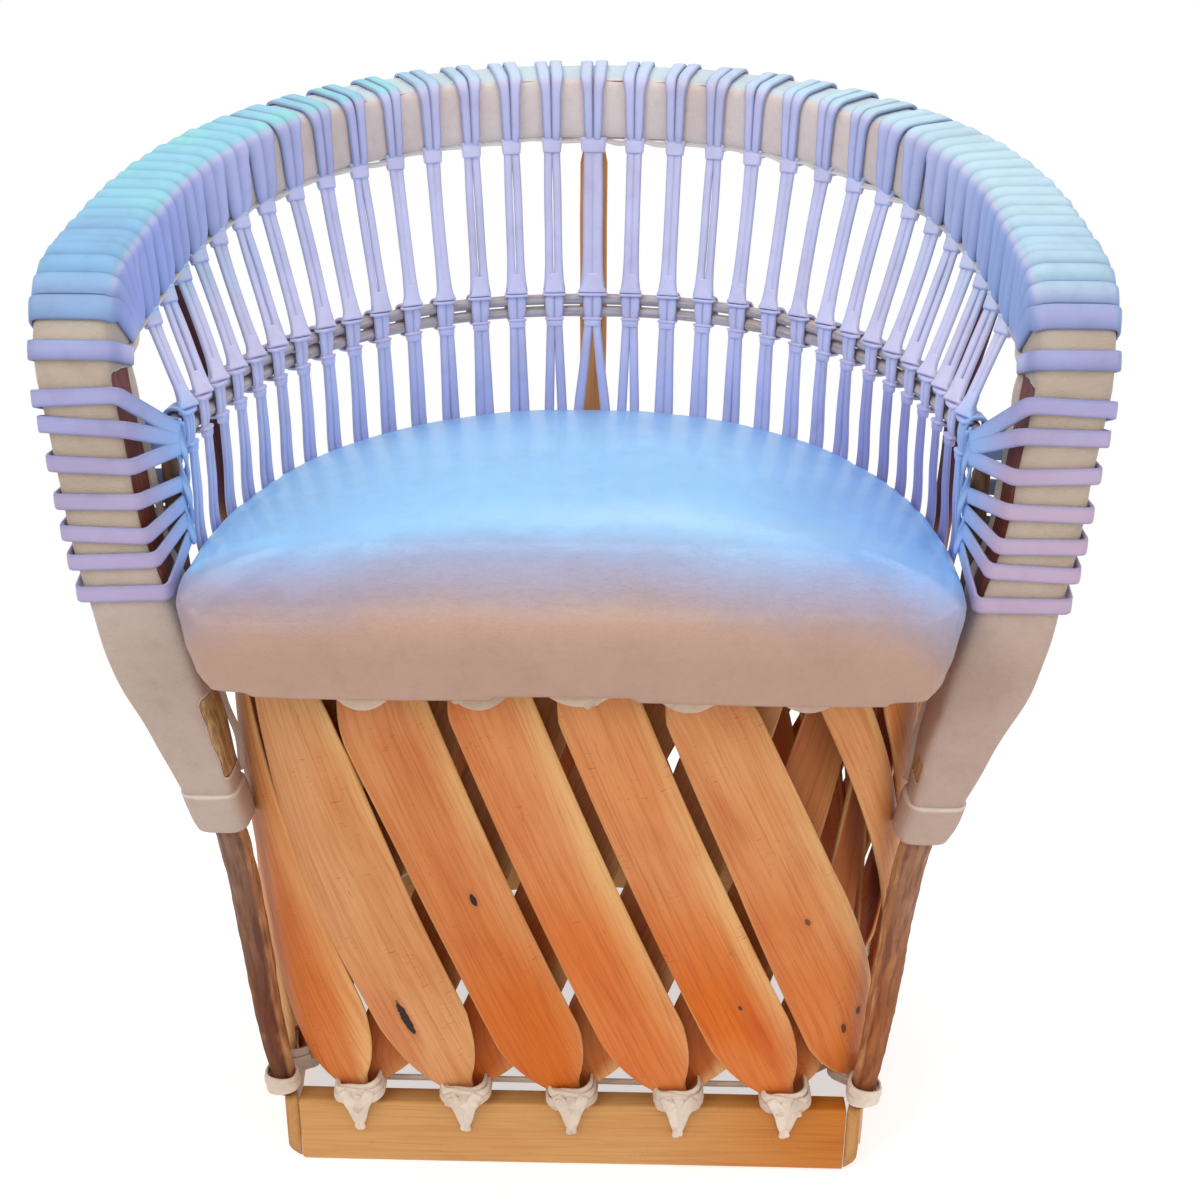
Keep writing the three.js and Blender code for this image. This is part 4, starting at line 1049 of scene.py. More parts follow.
def make_slats():
    """The outer and inner slats in pairs, from the left front corner round to the right."""
    for i in range(SLAT_PAIRS):
        number = i - FRONT_TIES
        for layer, name in ((1, "outer"), (-1, "inner")):
            seed = i + 1 + (0 if layer > 0 else INNER_SEED)
            grid, edge, highlight_share = slat_grid(number, layer, seed)
            slat = Pile()
            slat.add(grid, tone=highlight_share, edge=edge, uv_start=SLAT_UV_STEP * seed)
            # The outer slats a little lighter, the inner ones darkened by painted shade
            shade, skin, slot = (1.04, slat_wood, "slat_wood")
            if layer < 0:
                shade, skin, slot = (INNER_SHADE, inner_slat_wood, "inner_slat_wood")
            number_text = f"{i + 1:02d}"
            slat.build(f"{name}_split_{number_text}", skin, slot, [f"{name}_slat_{number_text}"],
                       slat_tint(shade, seed))


def tie_loop(centre, across, out, half_wide, half_deep, height, tilt):
    """A rawhide strip round a pair of feet, with one side higher than the other by tilt."""
    corners = [(1, 1), (0, 1.12), (-1, 1), (-1, -1), (0, -1.05), (1, -1)]
    points = [centre + across * (a * half_wide) + out * (b * half_deep) + UP * (a * tilt) for a, b in corners]
    loop = rounded_loop(points, 9.0)
    loop[:, 2] += 0.7 * np.sin(np.arange(len(loop)) * 0.9)
    return ribbon(loop, (loop - centre) * [1, 1, 0], height, 2.2, closed=True, crown=0.5)


# The loops of a foot tie: height, how much one side is higher, and how much wider than the second
FOOT_LOOPS = [(-1.0, 1.2, 0.6), (4.5, -1.8, 0.0), (9.5, 1.6, -0.8), (2.0, 0.4, 2.2), (7.5, -0.6, 1.6)]


def foot_tie(pile, centre, across, out, face, seed, with_tail=True):
    """One tie: five loops round the feet of two slats and, in front of them, three tails that run down the
    face of the base and three short turns of the knot."""
    dice = np.random.default_rng(seed)
    tone = lambda: dice.uniform(0.25, 0.9)
    for lift, tilt, grow in FOOT_LOOPS:
        wide, deep = 15.2 + grow + dice.uniform(-0.5, 0.5), 12.2 + grow * 0.7
        place = centre + UP * (lift + dice.uniform(-0.8, 0.8))
        height = dice.uniform(6.4, 8.0)
        loop = tie_loop(place, across, out, wide, deep, height, tilt + dice.uniform(-1, 1))
        pile.add(loop, closed=True, tone=tone())
    if not with_tail:
        return
    for lean in (-1, 0, 1):
        points = [
            centre + across * (lean * (9 + dice.uniform(0, 3))) + out * 15.0 + UP * 8.5,
            centre + across * (lean * 6) + out * 16.8 + UP * 1.0,
            centre + across * (lean * 3.5) + out * 15.4 - UP * 6,
            centre + across * (lean * 1.5) + out * (face + 3.6) - UP * 17,
            centre + across * (lean * -1.5) + out * (face + 1.8) + UP * (-27 - dice.uniform(0, 3)),
        ]
        width = np.interp(np.linspace(0, 1, 22), [0, 0.25, 0.5, 0.8, 1], [8, 10, 9.5, 8, 5.5])
        pile.lace(curve(points, 22), out, width, 2.0, lean=0.12 * lean, crown=0.6, tone=tone())
    for _ in range(3):
        start = centre + across * dice.uniform(-13, 13) + out * 15.5 + UP * dice.uniform(-2, 8)
        end = start + across * dice.uniform(-9, 9) + out * 1.4 + UP * dice.uniform(-9, 4)
        path = curve([start, (start + end) / 2 + out * 1.6, end], 8)
        pile.lace(path, out, [4, 5, 6, 6, 6, 5, 4, 2.5], 1.6, tone=tone())


def make_foot_ties():
    """The ties round the feet of the slats and of the legs, and a strip inside that joins them."""
    pile = Pile()
    inside = []
    for i in range(SLAT_PAIRS):
        distance = float(station_distance(foot_track, FOOT_FIRSTS, i))
        on_board = i < FRONT_TIES or i > SLAT_PAIRS - FRONT_TIES
        at_corner = i in (FRONT_TIES, SLAT_PAIRS - FRONT_TIES)
        plan = foot_track.at(distance)
        out = np.append(foot_track.outward(distance), 0)
        face = STRIP_THICKNESS / 2
        if on_board:
            plan = np.array([plan[0], BASE_FRONT + BOARD_THICKNESS / 2])
            out = np.array([0, -1.0, 0])
            face = BOARD_THICKNESS / 2
        centre = np.array([*plan, BOARD_HEIGHT + 5.0])
        foot_tie(pile, centre, across_of(out), out, face, i + 3, not at_corner)
        inside.append(centre - out * 12.5)
    pile.lace(np.array(inside), UP, 2.4, 5, closed=True, tone=0.4)
    for side, _ in SIDES:
        leg_tie(pile, side)
    pile.build("rawhide_foot_ties", rawhide_leather, "rawhide", ["foot_lashing"], rawhide_tint)


def rawhide_tint(points, normals, tones, edges):
    """From shaded to pale by each strip's tone."""
    return mix(RAWHIDE_SHADE, RAWHIDE, np.clip(tones + 0.15, 0, 1))


def head_tie_tint(points, normals, tones, edges):
    """Rawhide a little darker and warmer, in the shade of the seat."""
    return rawhide_tint(points, normals, tones, edges) * HEAD_TIE_SHADE


def leg_at(z):
    """The middle of the right front leg at a height."""
    heights = [point[2] for point in LEG_PATH]
    return np.stack([spline(z, heights, [point[k] for point in LEG_PATH]) for k in (0, 1)] + [z], -1)


def leg_tie(pile, side):
    """Turns of rawhide round the foot of a front leg, and the strip to the corner tie."""
    dice = np.random.default_rng(40 + side)
    flip = np.array([side, 1, 1])
    for z, tilt in ((66, 1.2), (72, -1.2)):
        centre = leg_at(np.array(float(z))) * flip
        loop = rounded_loop([
            centre + np.array([a * 10.8, b * 8.6 - 0.6, a * tilt])
            for a, b in ((1, 1), (-1, 1), (-1, -0.8), (0, -1.25), (1, -0.8))
        ], 6.0)
        pile.lace(loop, loop - centre, 8.2, 2.0, closed=True, crown=0.5, tone=dice.uniform(0.4, 0.9))
    corner_out = np.append(foot_track.outward(FOOT_FIRSTS[3], SLAT_WIDTH / 2), 0)
    tie = np.append(foot_track.at(FOOT_FIRSTS[3]), BOARD_HEIGHT + 6) + corner_out * 14
    leg = leg_at(np.array(76.0)) + np.array([0, 8.6, 0])
    for lift in (0, 7):
        points = np.array([leg + UP * lift, leg * 0.4 + tie * 0.6 + UP * lift, tie + UP * (lift * 0.5)])
        path = curve(points * flip, 14)
        pile.lace(path, corner_out * flip, 7, 2.0, lean=0.2, tone=dice.uniform(0.3, 0.8))


def make_head_ties():
    """Two bands of rawhide round the heads of the slats, and on each head a broad turn over them
    and three short ones."""
    pile = Pile()
    stand = RING_THICKNESS / 2 + SLAT_CLEAR + SLAT_THICKNESS + SLAT_BOW + 1.8
    for z, sway in ((404.5, 0.0), (409.0, 2.0)):
        distance = np.linspace(0, ring_track.length, 220, endpoint=False)
        out = ring_track.outward(distance, 20.0)
        plan = ring_track.at(distance) + out * (stand + 0.5 * np.sin(distance[:, None] / 13 + sway))
        loop, normal = raised(plan, out, z + 1.1 * np.sin(distance / 19 + sway))
        pile.lace(loop, normal, 7.0, 2.0, closed=True, crown=0.4, tone=0.7)
    for i in range(SLAT_PAIRS):
        dice = np.random.default_rng(70 + i)
        (centre,), (out,) = slat_place(i, 1, np.array([0.985]), np.array([0.0]))
        across = across_of(out)
        side = np.linspace(-1, 1, 16)[:, None]
        reach, sag = dice.uniform(14, 21), dice.uniform(8, 13)
        path = centre + out * (stand + 1.6 - side**2 * 1.2) + across * (side * reach + dice.uniform(-8, 2))
        path[:, 2] += 3 - sag * (1 - side[:, 0] ** 2)
        pile.lace(path, out, dice.uniform(12, 16), 2.4, crown=1.8, tone=0.9)
        for _ in range(3):
            start = centre + across * dice.uniform(-15, 15) + out * (stand + 0.6) + UP * 3
            end = start + across * dice.uniform(-8, 8) - UP * dice.uniform(9, 15) + out * 1.0
            path = curve([start, (start + end) / 2 + out * 1.8, end], 10)
            width = np.interp(np.linspace(0, 1, 10), [0, 0.5, 1], [7, 9, 5])
            pile.lace(path, out, width, 2.0, crown=0.6, tone=dice.uniform(0.5, 1))
    pile.build("rawhide_head_ties", rawhide_leather, "rawhide", ["head_lashing"], head_tie_tint)


def leg_tint(side):
    """Bark that turns browner and mottled towards the foot, and the pale cut edge."""

    def tint(points, normals, tones, edges):
        z = points[:, 2]
        own = mix(LEG_BROWN[side], LEG_GREY[side], smooth(z, 120, 270))
        mottle = smooth(wander(points, 26.0, 91 + side), 0.35, 0.8) * smooth(z, 230, 130)
        own = mix(own, paint(196, 132, 62), 0.45 * mottle)
        return mix(own, paint(212, 160, 108), edges * (0.75 + 0.25 * wander(points, 30.0, 93)))

    return tint


def make_legs():
    """Split legs: round and barked outside, flat and pale on the cut face."""
    angle = np.linspace(0, math.pi, 22)
    back = np.linspace(math.pi, 2 * math.pi, 9)[1:-1]
    for side, name in SIDES:
        z = np.linspace(LEG_PATH[0][2] + 0.4, LEG_PATH[-1][2] - 6, 90)
        centre = leg_at(z)
        heights = [point[2] for point in LEG_PATH]
        wide = spline(z, heights, LEG_WIDTHS)[:, None]
        deep = spline(z, heights, LEG_DEPTHS)[:, None]
        a = np.concatenate([np.cos(angle), np.cos(back)])
        b = np.concatenate([-np.sin(angle), 0.06 * np.ones(len(back))])
        lump = wander(np.stack(np.broadcast_arrays(8 * a, 8 * b, z[:, None] * 0.35), -1), 13.0, 11 + side)
        lump = lump + 0.6 * wander(np.stack(np.broadcast_arrays(8 * a, 8 * b, z[:, None]), -1), 9.0, 5 + side)
        grow = np.where(b < 0, 1 + 0.045 * lump, 1 + 0.02 * lump) * 0.96
        x = centre[:, :1] + wide / 2 * a * grow
        y = centre[:, 1:2] + deep / 2 + deep * b * grow * 0.98
        grid = np.stack([x * side, y, np.broadcast_to(z[:, None], x.shape)], -1)
        edge = np.broadcast_to(np.maximum(b > -0.02, smooth(-a, 0.66, 0.8)), x.shape)
        leg = Pile()
        leg.add(grid, edge=edge)
        leg.build(f"split_leg_{name}", bark_wood, "bark_wood", [f"front_leg_{name}"], leg_tint(side))


# The rail's rise towards the back, and the bend of the crest from it down to the posts
RAIL_SLOPE = (RAIL_TOP - ARM_HEIGHT) / (RAIL_BACK - RAIL_MIDDLE)
CREST_ANGLE = math.atan(1 / RAIL_SLOPE)
CREST_Y = POST_FRONT + POST_DEPTH / 2 + CREST_RADIUS
CREST_START_Y = CREST_Y - CREST_RADIUS * math.cos(CREST_ANGLE)
CREST_HEIGHT = (
    ARM_HEIGHT + RAIL_SLOPE * (CREST_START_Y - RAIL_MIDDLE) - CREST_RADIUS * math.sin(CREST_ANGLE)
)


class Rail:
    """The rail and its arm posts by distance from the middle of the back, left negative: the centre,
    the ways across and up, and the half width and half depth."""

    def __init__(self):
        arc = oval(RAIL_HALF, RAIL_MIDDLE, RAIL_BACK, 0, np.linspace(0, math.pi / 2, 90))
        straight = np.stack([np.full(6, RAIL_HALF), np.linspace(RAIL_MIDDLE, CREST_START_Y, 8)[1:-1]], 1)
        plan = np.vstack([arc, straight])
        centre = np.column_stack([plan, ARM_HEIGHT + RAIL_SLOPE * (plan[:, 1] - RAIL_MIDDLE)])
        rail_up = unit(np.array([0, -RAIL_SLOPE, 1]))
        along = unit(np.gradient(centre, axis=0))
        along[0] = [1, 0, 0]
        across = unit(np.cross(rail_up, along)) * -1
        across = across * np.sign(np.sum(across * [1, 1, 0], axis=1, keepdims=True))
        angle = np.linspace(CREST_ANGLE, 0, 22)
        up = np.stack([0 * angle, -np.cos(angle), np.sin(angle)], 1)
        crest = np.array([RAIL_HALF, CREST_Y, CREST_HEIGHT]) + up * CREST_RADIUS
        share = np.linspace(1, 0, 60)[1:]
        heights, leans, wides, deeps = np.array(POST_SHARES, float).T
        lean, wide, deep = (spline(share, heights, values) for values in (leans, wides, deeps))
        post = np.stack([
            POST_FOOT_HALF + (RAIL_HALF - POST_FOOT_HALF) * lean,
            POST_FRONT + POST_DEPTH * deep / 2,
            POST_FOOT + (CREST_HEIGHT - POST_FOOT) * share,
        ], 1)
        count = len(centre), len(crest), len(post)
        self.centre = np.vstack([centre, crest, post])
        x_way = np.array([1.0, 0, 0])
        self.across = np.vstack([across, np.tile(x_way, (count[1] + count[2], 1))])
        self.up = np.vstack([np.tile(rail_up, (count[0], 1)), up, np.tile([0, -1.0, 0], (count[2], 1))])
        depth = RAIL_DEPTH + (POST_DEPTH - RAIL_DEPTH) * np.linspace(0, 1, count[1])
        self.half = np.column_stack([
            np.concatenate([np.full(count[0] + count[1], RAIL_WIDTH), RAIL_WIDTH * wide]),
            np.concatenate([np.full(count[0], RAIL_DEPTH), depth, POST_DEPTH * deep]),
        ]) / 2
        self.marks = lengths(self.centre)
        self.length = self.marks[-1]
        side = self.marks[len(arc) - 1]
        self.reach = side + (RAIL_MIDDLE - LAST_WRAP_Y) * math.hypot(1, RAIL_SLOPE)

    def at(self, distance):
        """The centre, the ways across and up, and the half width and depth at a distance."""
        side = np.where(distance < 0, -1.0, 1.0)[..., None]
        read = lambda rows: np.stack([np.interp(np.abs(distance), self.marks, k) for k in rows.T], -1)
        flip = np.concatenate([side, np.ones_like(side), np.ones_like(side)], -1)
        return read(self.centre) * flip, unit(read(self.across)) * flip, unit(read(self.up)), read(self.half)

    def skin(self, distance, angle, stand, power=RAIL_POWER):
        """A point on the rail's skin and the way out of it there: centre + across (w + stand) a +
        up (d + stand) b, with a and b round a superellipse."""
        distance, angle = np.broadcast_arrays(distance, angle)
        centre, across, up, half = self.at(distance)
        a, b = around(angle, power)
        wide, deep = half[..., 0] + stand, half[..., 1] + stand
        point = centre + across * (wide * a)[..., None] + up * (deep * b)[..., None]
        tilt_a = np.sign(a) * np.abs(a) ** (power - 1) / wide
        tilt_b = np.sign(b) * np.abs(b) ** (power - 1) / deep
        return point, unit(across * tilt_a[..., None] + up * tilt_b[..., None])


rail = Rail()

# The rail's lower inner edge as an angle round it, where its seam and the ends of the laces are
LOW_INNER = math.radians(225)


def hide_tint(points, normals, tones, edges):
    """Pigskin: cream between the bands and greyer below, with painted light that makes it lighter inside the
    back and painted cool light on the rail's upward faces, and raw pale edges. Alpha is 1 where it is whole."""
    x, _, z = points.T
    # Painted cool light on the faces that look up, high on the rail
    top = smooth(normals[:, 2], 0.2, 0.9) * smooth(z, 600, 660)
    own = mix(HIDE, HIDE_CREAM, smooth(z, 430, 500) * smooth(points[:, 1], -150, -200))
    own = mix(own, HIDE_GREY, smooth(z, 480, 400))
    own = mix(own, own * np.array([1, 0.9, 0.86]), 0.8 * smooth(x, 180, 220) * smooth(z, 500, 440))
    # Painted light: lighter inside the back, over a faint mottle
    own = own * (1 + 0.03 * wander(points, 120.0, 3) + 0.42 * smooth(points[:, 1], 20, 160))[:, None]
    own = mix(own, HIDE_TOP_LIT, 0.8 * top)
    own = mix(own, paint(236, 222, 206), edges)
    return np.column_stack([own, 1 - tones + 0 * z])


def make_hide():
    """The pigskin sleeve: skin = rail skin + wrinkles, deeper on the arm posts, and torn open to the
    wood in patches high and low on the posts. A raw seam runs along its lower inner edge."""
    pile = Pile()
    distance = np.concatenate([np.linspace(-rail.length, -640, 110)[:-1], np.linspace(-640, 640, 230),
                               np.linspace(640, rail.length, 110)[1:]])
    d, t = np.meshgrid(distance, full_turn(64), indexing="ij")
    point, normal = rail.skin(d, t, -0.5)
    low = smooth(rail.at(distance)[0][:, 2], 470, 380)[:, None]
    wrinkle = 0.35 * wander(point, 42.0, 5) + low * (0.9 * wander(point * [1, 1, 0.55], 46.0, 8))
    grid = point + normal * wrinkle[..., None]
    ragged = wander(point * [0.3, 0.3, 1], 34.0, 27)
    inner = -around(t, RAIL_POWER)[0] * np.ones_like(d)
    z = point[..., 2]
    high = smooth(inner, 0.93, 0.985) * smooth(z + 5 * ragged, 452, 458) * smooth(z + 5 * ragged, 602, 596)
    left = smooth(inner + 0.12 * ragged, 0.78, 0.92) * smooth(z, 316, 328) * smooth(z, 386, 376)
    right = smooth(inner, 0.93, 0.99) * smooth(z, 322, 328) * smooth(z, 344, 338)
    foot = np.where(point[..., 0] < 0, left, right)
    bare = (high + foot) * (point[..., 1] < -165)
    grid = grid - normal * (1.2 * bare)[..., None]
    pile.add(grid, tone=bare)
    for side, _ in SIDES:
        seam = np.linspace(8, rail.length - 30, 420) * side
        lift = 1.2 + 1.5 * wander(np.stack([seam / 7, seam / 11], -1), 6.0, 21 + side)
        edge_point, edge_normal = rail.skin(seam, LOW_INNER + 0.05 * np.sin(seam / 37), lift)
        face = unit(edge_normal + np.array([0, 0, 0.4]))
        up = np.cross(face, unit(np.gradient(edge_point, axis=0)))
        pile.lace(edge_point, up, 5.5, 1.6, tone=0.0, edge=0.35)
    pile.build("pigskin_rail", hide_leather, "hide", ["rail_hide"], hide_tint)


def make_hide_wraps():
    """The cup of hide tied round the foot of each post: a flared band with a rolled lower rim."""
    for side, name in SIDES:
        pile = Pile()
        t = np.linspace(0, 1, 26)
        distance = (rail.length - 27 + 27.5 * t) * side
        stand = 1.4 + 1.6 * np.sin(math.pi * np.clip(t, 0.04, 0.96)) ** 0.5
        d, a = np.meshgrid(distance, full_turn(56), indexing="ij")
        point, normal = rail.skin(d, a, stand[:, None] * np.ones_like(a), 4.0)
        point = point + normal * (0.5 * wander(point, 24.0, 31 + side))[..., None]
        sag = 4.0 * smooth(t, 0.5, 1.0)[:, None] * (np.cos(2 * a) * 0.5 - 0.5)
        point[..., 2] += sag * 0.5
        pile.add(point, tone=0.0, edge=smooth(t, 0.1, 0.02)[:, None] * 0.8)
        pile.build(f"hide_cup_{name}", hide_leather, "hide", [f"hide_wrap_{name}"], hide_tint)


def seat_tint(points, normals, tones, edges):
    """Painted blue light on the crown, with painted shade towards the back and the right and a painted
    highlight, turning through violet and mauve painted light to the warm hide of the front roll and the
    apron.
    """
    x, y = points[:, 0], points[:, 1]
    soft = 8 * wander(points * [1, 0.6, 1], 130.0, 17) + 3 * wander(points, 36.0, 18)
    along = -(y + soft) + 0.8 * (PAD_EDGE - points[:, 2]).clip(0, 80)
    far = np.abs(x)
    along = along - 22 * smooth(far, 30, 190) - 16 * smooth(far, 190, 260) - 20 * smooth(x, 180, 260)
    # Painted shade: deeper blue towards the back and the right
    deep = 0.3 * smooth(y, 20, 160) + 0.6 * smooth(x, 90, 230)
    blue = mix(SEAT_BLUE_LIT, SEAT_BLUE_SHADE, np.clip(deep, 0, 0.75))
    # A painted highlight across the crown
    highlight = np.exp(-(((x - 60) / 120) ** 2 + ((along - 148) / 22) ** 2))
    blue = mix(blue, SEAT_HIGHLIGHT, 0.6 * highlight)
    # The painted light turns through violet and mauve to the warm hide in front
    shade = mix(blue, SEAT_VIOLET_LIT, smooth(along, 148, 214))
    shade = mix(shade, SEAT_MAUVE_LIT, smooth(along, 198, 238))
    shade = mix(shade, SEAT_WARM, smooth(along, 226, 266))
    return shade * (1 + 0.1 * smooth(points[:, 2], 406, 392))[:, None]


def seat_outline(grow_side, grow_front, count):
    """The pad's outline in plan, grown at the sides and in front, as count points."""
    track = d_track(SEAT_HALF + grow_side, SEAT_MIDDLE, SEAT_BACK + grow_side, SEAT_FRONT - grow_front,
                    SEAT_FRONT_HALF + grow_side, SEAT_CORNER)
    return track.at(np.linspace(0, track.length, count, endpoint=False))


def fill_pad(pad):
    """Blows the pad's upper part up as cloth: it starts drawn in, swells under pressure with its
    lower part held, and moves out at least nearly as far as it was drawn in, and no further than a
    limit. The swollen skin takes the pad's place."""
    scene = bpy.context.scene
    start = bpy.data.objects.new("pad before filling", pad.data.copy())
    scene.collection.objects.link(start)
    points = read_points(start.data)
    points = points - read_normals(start.data) * FILL_START / 1000 * pad_free(points)[:, None]
    start.data.vertices.foreach_set("co", points.astype(np.float32).ravel())
    voxels = start.modifiers.new("voxels", "REMESH")
    voxels.mode = "VOXEL"
    voxels.voxel_size = FILL_VOXEL / 1000
    skin = bpy.data.meshes.new_from_object(start.evaluated_get(bpy.context.evaluated_depsgraph_get()))
    start.modifiers.clear()
    start.data = skin
    before = read_points(skin)
    free = pad_free(before)
    held = start.vertex_groups.new(name="held")
    held.add(np.flatnonzero(free < 0.5).tolist(), 1.0, "REPLACE")
    cloth = start.modifiers.new("filling", "CLOTH")
    cloth.settings.use_pressure = True
    cloth.settings.uniform_pressure_force = FILL_PRESSURE
    cloth.settings.vertex_group_mass = "held"
    cloth.settings.effector_weights.gravity = 0.0
    cloth.settings.quality = 4
    cloth.point_cache.frame_start = 1
    cloth.point_cache.frame_end = FILL_FRAMES
    for step in range(1, FILL_FRAMES + 1):
        scene.frame_set(step)
    swollen = read_points(start.evaluated_get(bpy.context.evaluated_depsgraph_get()).data)
    move = swollen - before
    normals = read_normals(skin)
    short = (FILL_START - FILL_SLACK) / 1000 - np.sum(move * normals, axis=1, keepdims=True)
    move = move + normals * np.clip(short, 0, None)
    level = np.linalg.norm(move[:, :2], axis=1, keepdims=True)
    move[:, :2] *= np.minimum(1, FILL_SIDEWAYS / 1000 / np.maximum(level, 1e-9))
    move[:, 2] = np.clip(move[:, 2], -FILL_UPWARDS / 1000, FILL_UPWARDS / 1000)
    filled = before + move * free[:, None]
    start.modifiers.clear()
    start.vertex_groups.clear()
    scene.frame_set(1)
    skin.vertices.foreach_set("co", filled.astype(np.float32).ravel())
    skin.polygons.foreach_set("use_smooth", np.ones(len(skin.polygons), bool))
    skin.update()
    write_tint(skin, seat_tint(filled * 1000 - SHIFT, read_normals(skin), 0, 0))
    skin.materials.clear()
    skin.materials.append(seat_leather)
    skin.name = "leather_pad"
    pad.data = skin
    bpy.data.objects.remove(start)
    finer = pad.modifiers.new("finer", "SUBSURF")
    finer.levels = finer.render_levels = 1


def pad_free(points):
    """How free each point of the pad is to move: 0 below its sides, 1 from a little higher."""
    return smooth(points[:, 2] * 1000, 436, 452)


def make_seat():
    """The pad: a crown z = crown + (edge - crown) r^2.2 inside the seat's outline, a rolled edge,
    sides that draw in, and at the front an apron that hangs down over the heads of the slats."""
    count = 240
    edge = seat_outline(-3, -10, count)
    middle = np.array([0, (SEAT_FRONT + SEAT_BACK) / 2])
    front = smooth(edge[:, 1], -236, -256)
    rows = []
    for share in [*np.linspace(0.04, 0.9, 26), 0.94, 0.97, 0.99]:
        plan = middle + (edge - middle) * share
        z = PAD_CROWN + (PAD_EDGE - PAD_CROWN) * share**2.2 - ROLL_DROP * front * smooth(share, 0.72, 1.02)
        rows.append(np.column_stack([plan, z]))
    foot = PAD_FOOT + (APRON_FOOT - PAD_FOOT) * front
    foot = foot + front * (1.6 * np.cos(edge[:, 0] / 42) + 2.0 * smooth(np.abs(edge[:, 0]), 190, 225))
    outline = seat_outline(0, 0, count)
    track = Track(outline, True)
    outward = track.outward(track.marks[:-1])
    x = outline[:, 0]
    top_edge = PAD_EDGE - ROLL_DROP * front
    for t in np.linspace(0, 1, 18):
        z = top_edge + (foot - top_edge) * t
        grow = np.interp(z, *SIDE_STAND) * (1 - front) + front * np.interp(z, *FRONT_STAND)
        narrow = 8 * front * smooth(z, 445, 405) * smooth(np.abs(x), 150, 240)
        plan = outline + outward * grow[:, None] - np.column_stack([np.sign(x) * narrow, 0 * narrow])
        rows.append(np.column_stack([plan, z]))
    rim = rows[-1]
    under = rim.copy()
    under[:, :2] -= outward * (APRON_THICKNESS * 0.5)
    under[:, 2] -= 1.2
    rows.append(under)
    inner = rim.copy()
    inner[:, :2] -= outward * APRON_THICKNESS
    rows.append(inner)
    high = inner.copy()
    high[:, 2] = PAD_FOOT
    rows.append(high)
    for share in (0.7, 0.3, 0.05):
        plan = middle + (high[:, :2] - middle) * share
        rows.append(np.column_stack([plan, np.full(count, PAD_FOOT)]))
    grid = np.array(rows)
    top = smooth(grid[..., 2], 408, 470) * (np.arange(len(grid)) < len(grid) - 6)[:, None]
    wave = 1.1 * wander(grid * [1, 0.8, 1], 150.0, 61) + 0.35 * wander(grid, 38.0, 62)
    grid[..., 2] += wave * top * 0.8
    pull = 0.9 * wander(grid * [1, 1, 0.3], 44.0, 63) * smooth(grid[..., 2], 475, 440)
    grid[..., 1] -= pull * front * 0.7
    pile = Pile()
    pile.add(grid)
    pad = pile.build("leather_pad", seat_leather, "seat_leather", ["seat_pad"], seat_tint)
    fill_pad(pad)


# The line in plan that the canes follow
cane_track = horseshoe(CANE_HALF, CANE_MIDDLE, CANE_BACK, CANE_END)
cane_reach = reach_to_y(cane_track, LAST_CANE_Y)


def cane_at(distance):
    """The middle between the canes at a distance from the middle of the back, and the way out."""
    place = np.clip(cane_track.length / 2 - distance, 0, cane_track.length)
    plan = cane_track.at(place)
    safe = np.clip(place, 6, cane_track.length - 6)
    share = (CANE_BACK - plan[..., 1]) / (CANE_BACK - CANE_END)
    z = CANE_BACK_HEIGHT + (CANE_END_HEIGHT - CANE_BACK_HEIGHT) * share
    return raised(plan, cane_track.outward(safe), z)


def make_canes():
    """Two canes: a tube whose radius swells at its knuckles, r = R (1 + 0.1 exp(-(d / 6)^2)), and
    wanders a little between them."""
    distance = np.linspace(-cane_track.length / 2, cane_track.length / 2, 260)
    centre, out = cane_at(distance)
    for name, way, phase in (("upper", 1, 0.0), ("lower", -1, 71.0)):
        knuckle = np.abs(np.mod(distance + phase, 150.0) - 75.0)
        radius = (CANE_RADIUS - 0.5) * (1 + 0.1 * np.exp(-((knuckle / 6) ** 2)))
        radius = radius * (1 + 0.04 * np.sin(distance / 31 + phase))
        end = cane_track.length / 2 - np.abs(distance)
        radius = radius * np.sqrt(np.clip(end / 3, 0.6, 1))
        path = centre + UP * (way * CANE_SPREAD) + out * (0.7 * np.sin(distance / 47 + phase))[:, None]
        a, b = ring(2.0, 18)
        section = radius[:, None] * a, radius[:, None] * b
        edge = np.exp(-((knuckle / 3) ** 2)) * 0.5 + smooth(end, 4, 0)
        pile = Pile()
        pile.add(sweep(path, out, np.tile(UP, (len(path), 1)), section), edge=edge[:, None])
        pile.build(f"weathered_cane_{name}", cane_wood, "cane", [f"cane_{name}"],
                   edged_tint(CANE, CANE_END_CUT))


def stick_grid(points, across, out, wide, deep, seed, power=3.4):
    """A split stick along a few points, a little uneven."""
    path = curve(points, 90)
    a, b = ring(power, 24)
    lump = wander(np.stack(np.broadcast_arrays(6 * a, 6 * b, path[:, 2:] * 0.3), -1), 16.0, seed)
    end = np.minimum(np.arange(90), 89 - np.arange(90))
    drawn = np.clip(0.72 + end * 0.14, 0, 1)[:, None] * (0.97 + 0.03 * lump)
    tile = lambda way: np.tile(np.asarray(way, float), (90, 1))
    return sweep(path, tile(across), tile(out), (wide / 2 * a * drawn, deep / 2 * b * drawn))


def side_post_tint(points, normals, tones, edges):
    """Dark red above the seat and darkened orange-brown lower down, both partly painted shade, as the posts
    stand in shadow behind the laces.
    """
    return mix(MAROON_WOOD_IN_SHADE, SPLIT * 0.8, smooth(points[:, 2], 470, 420))


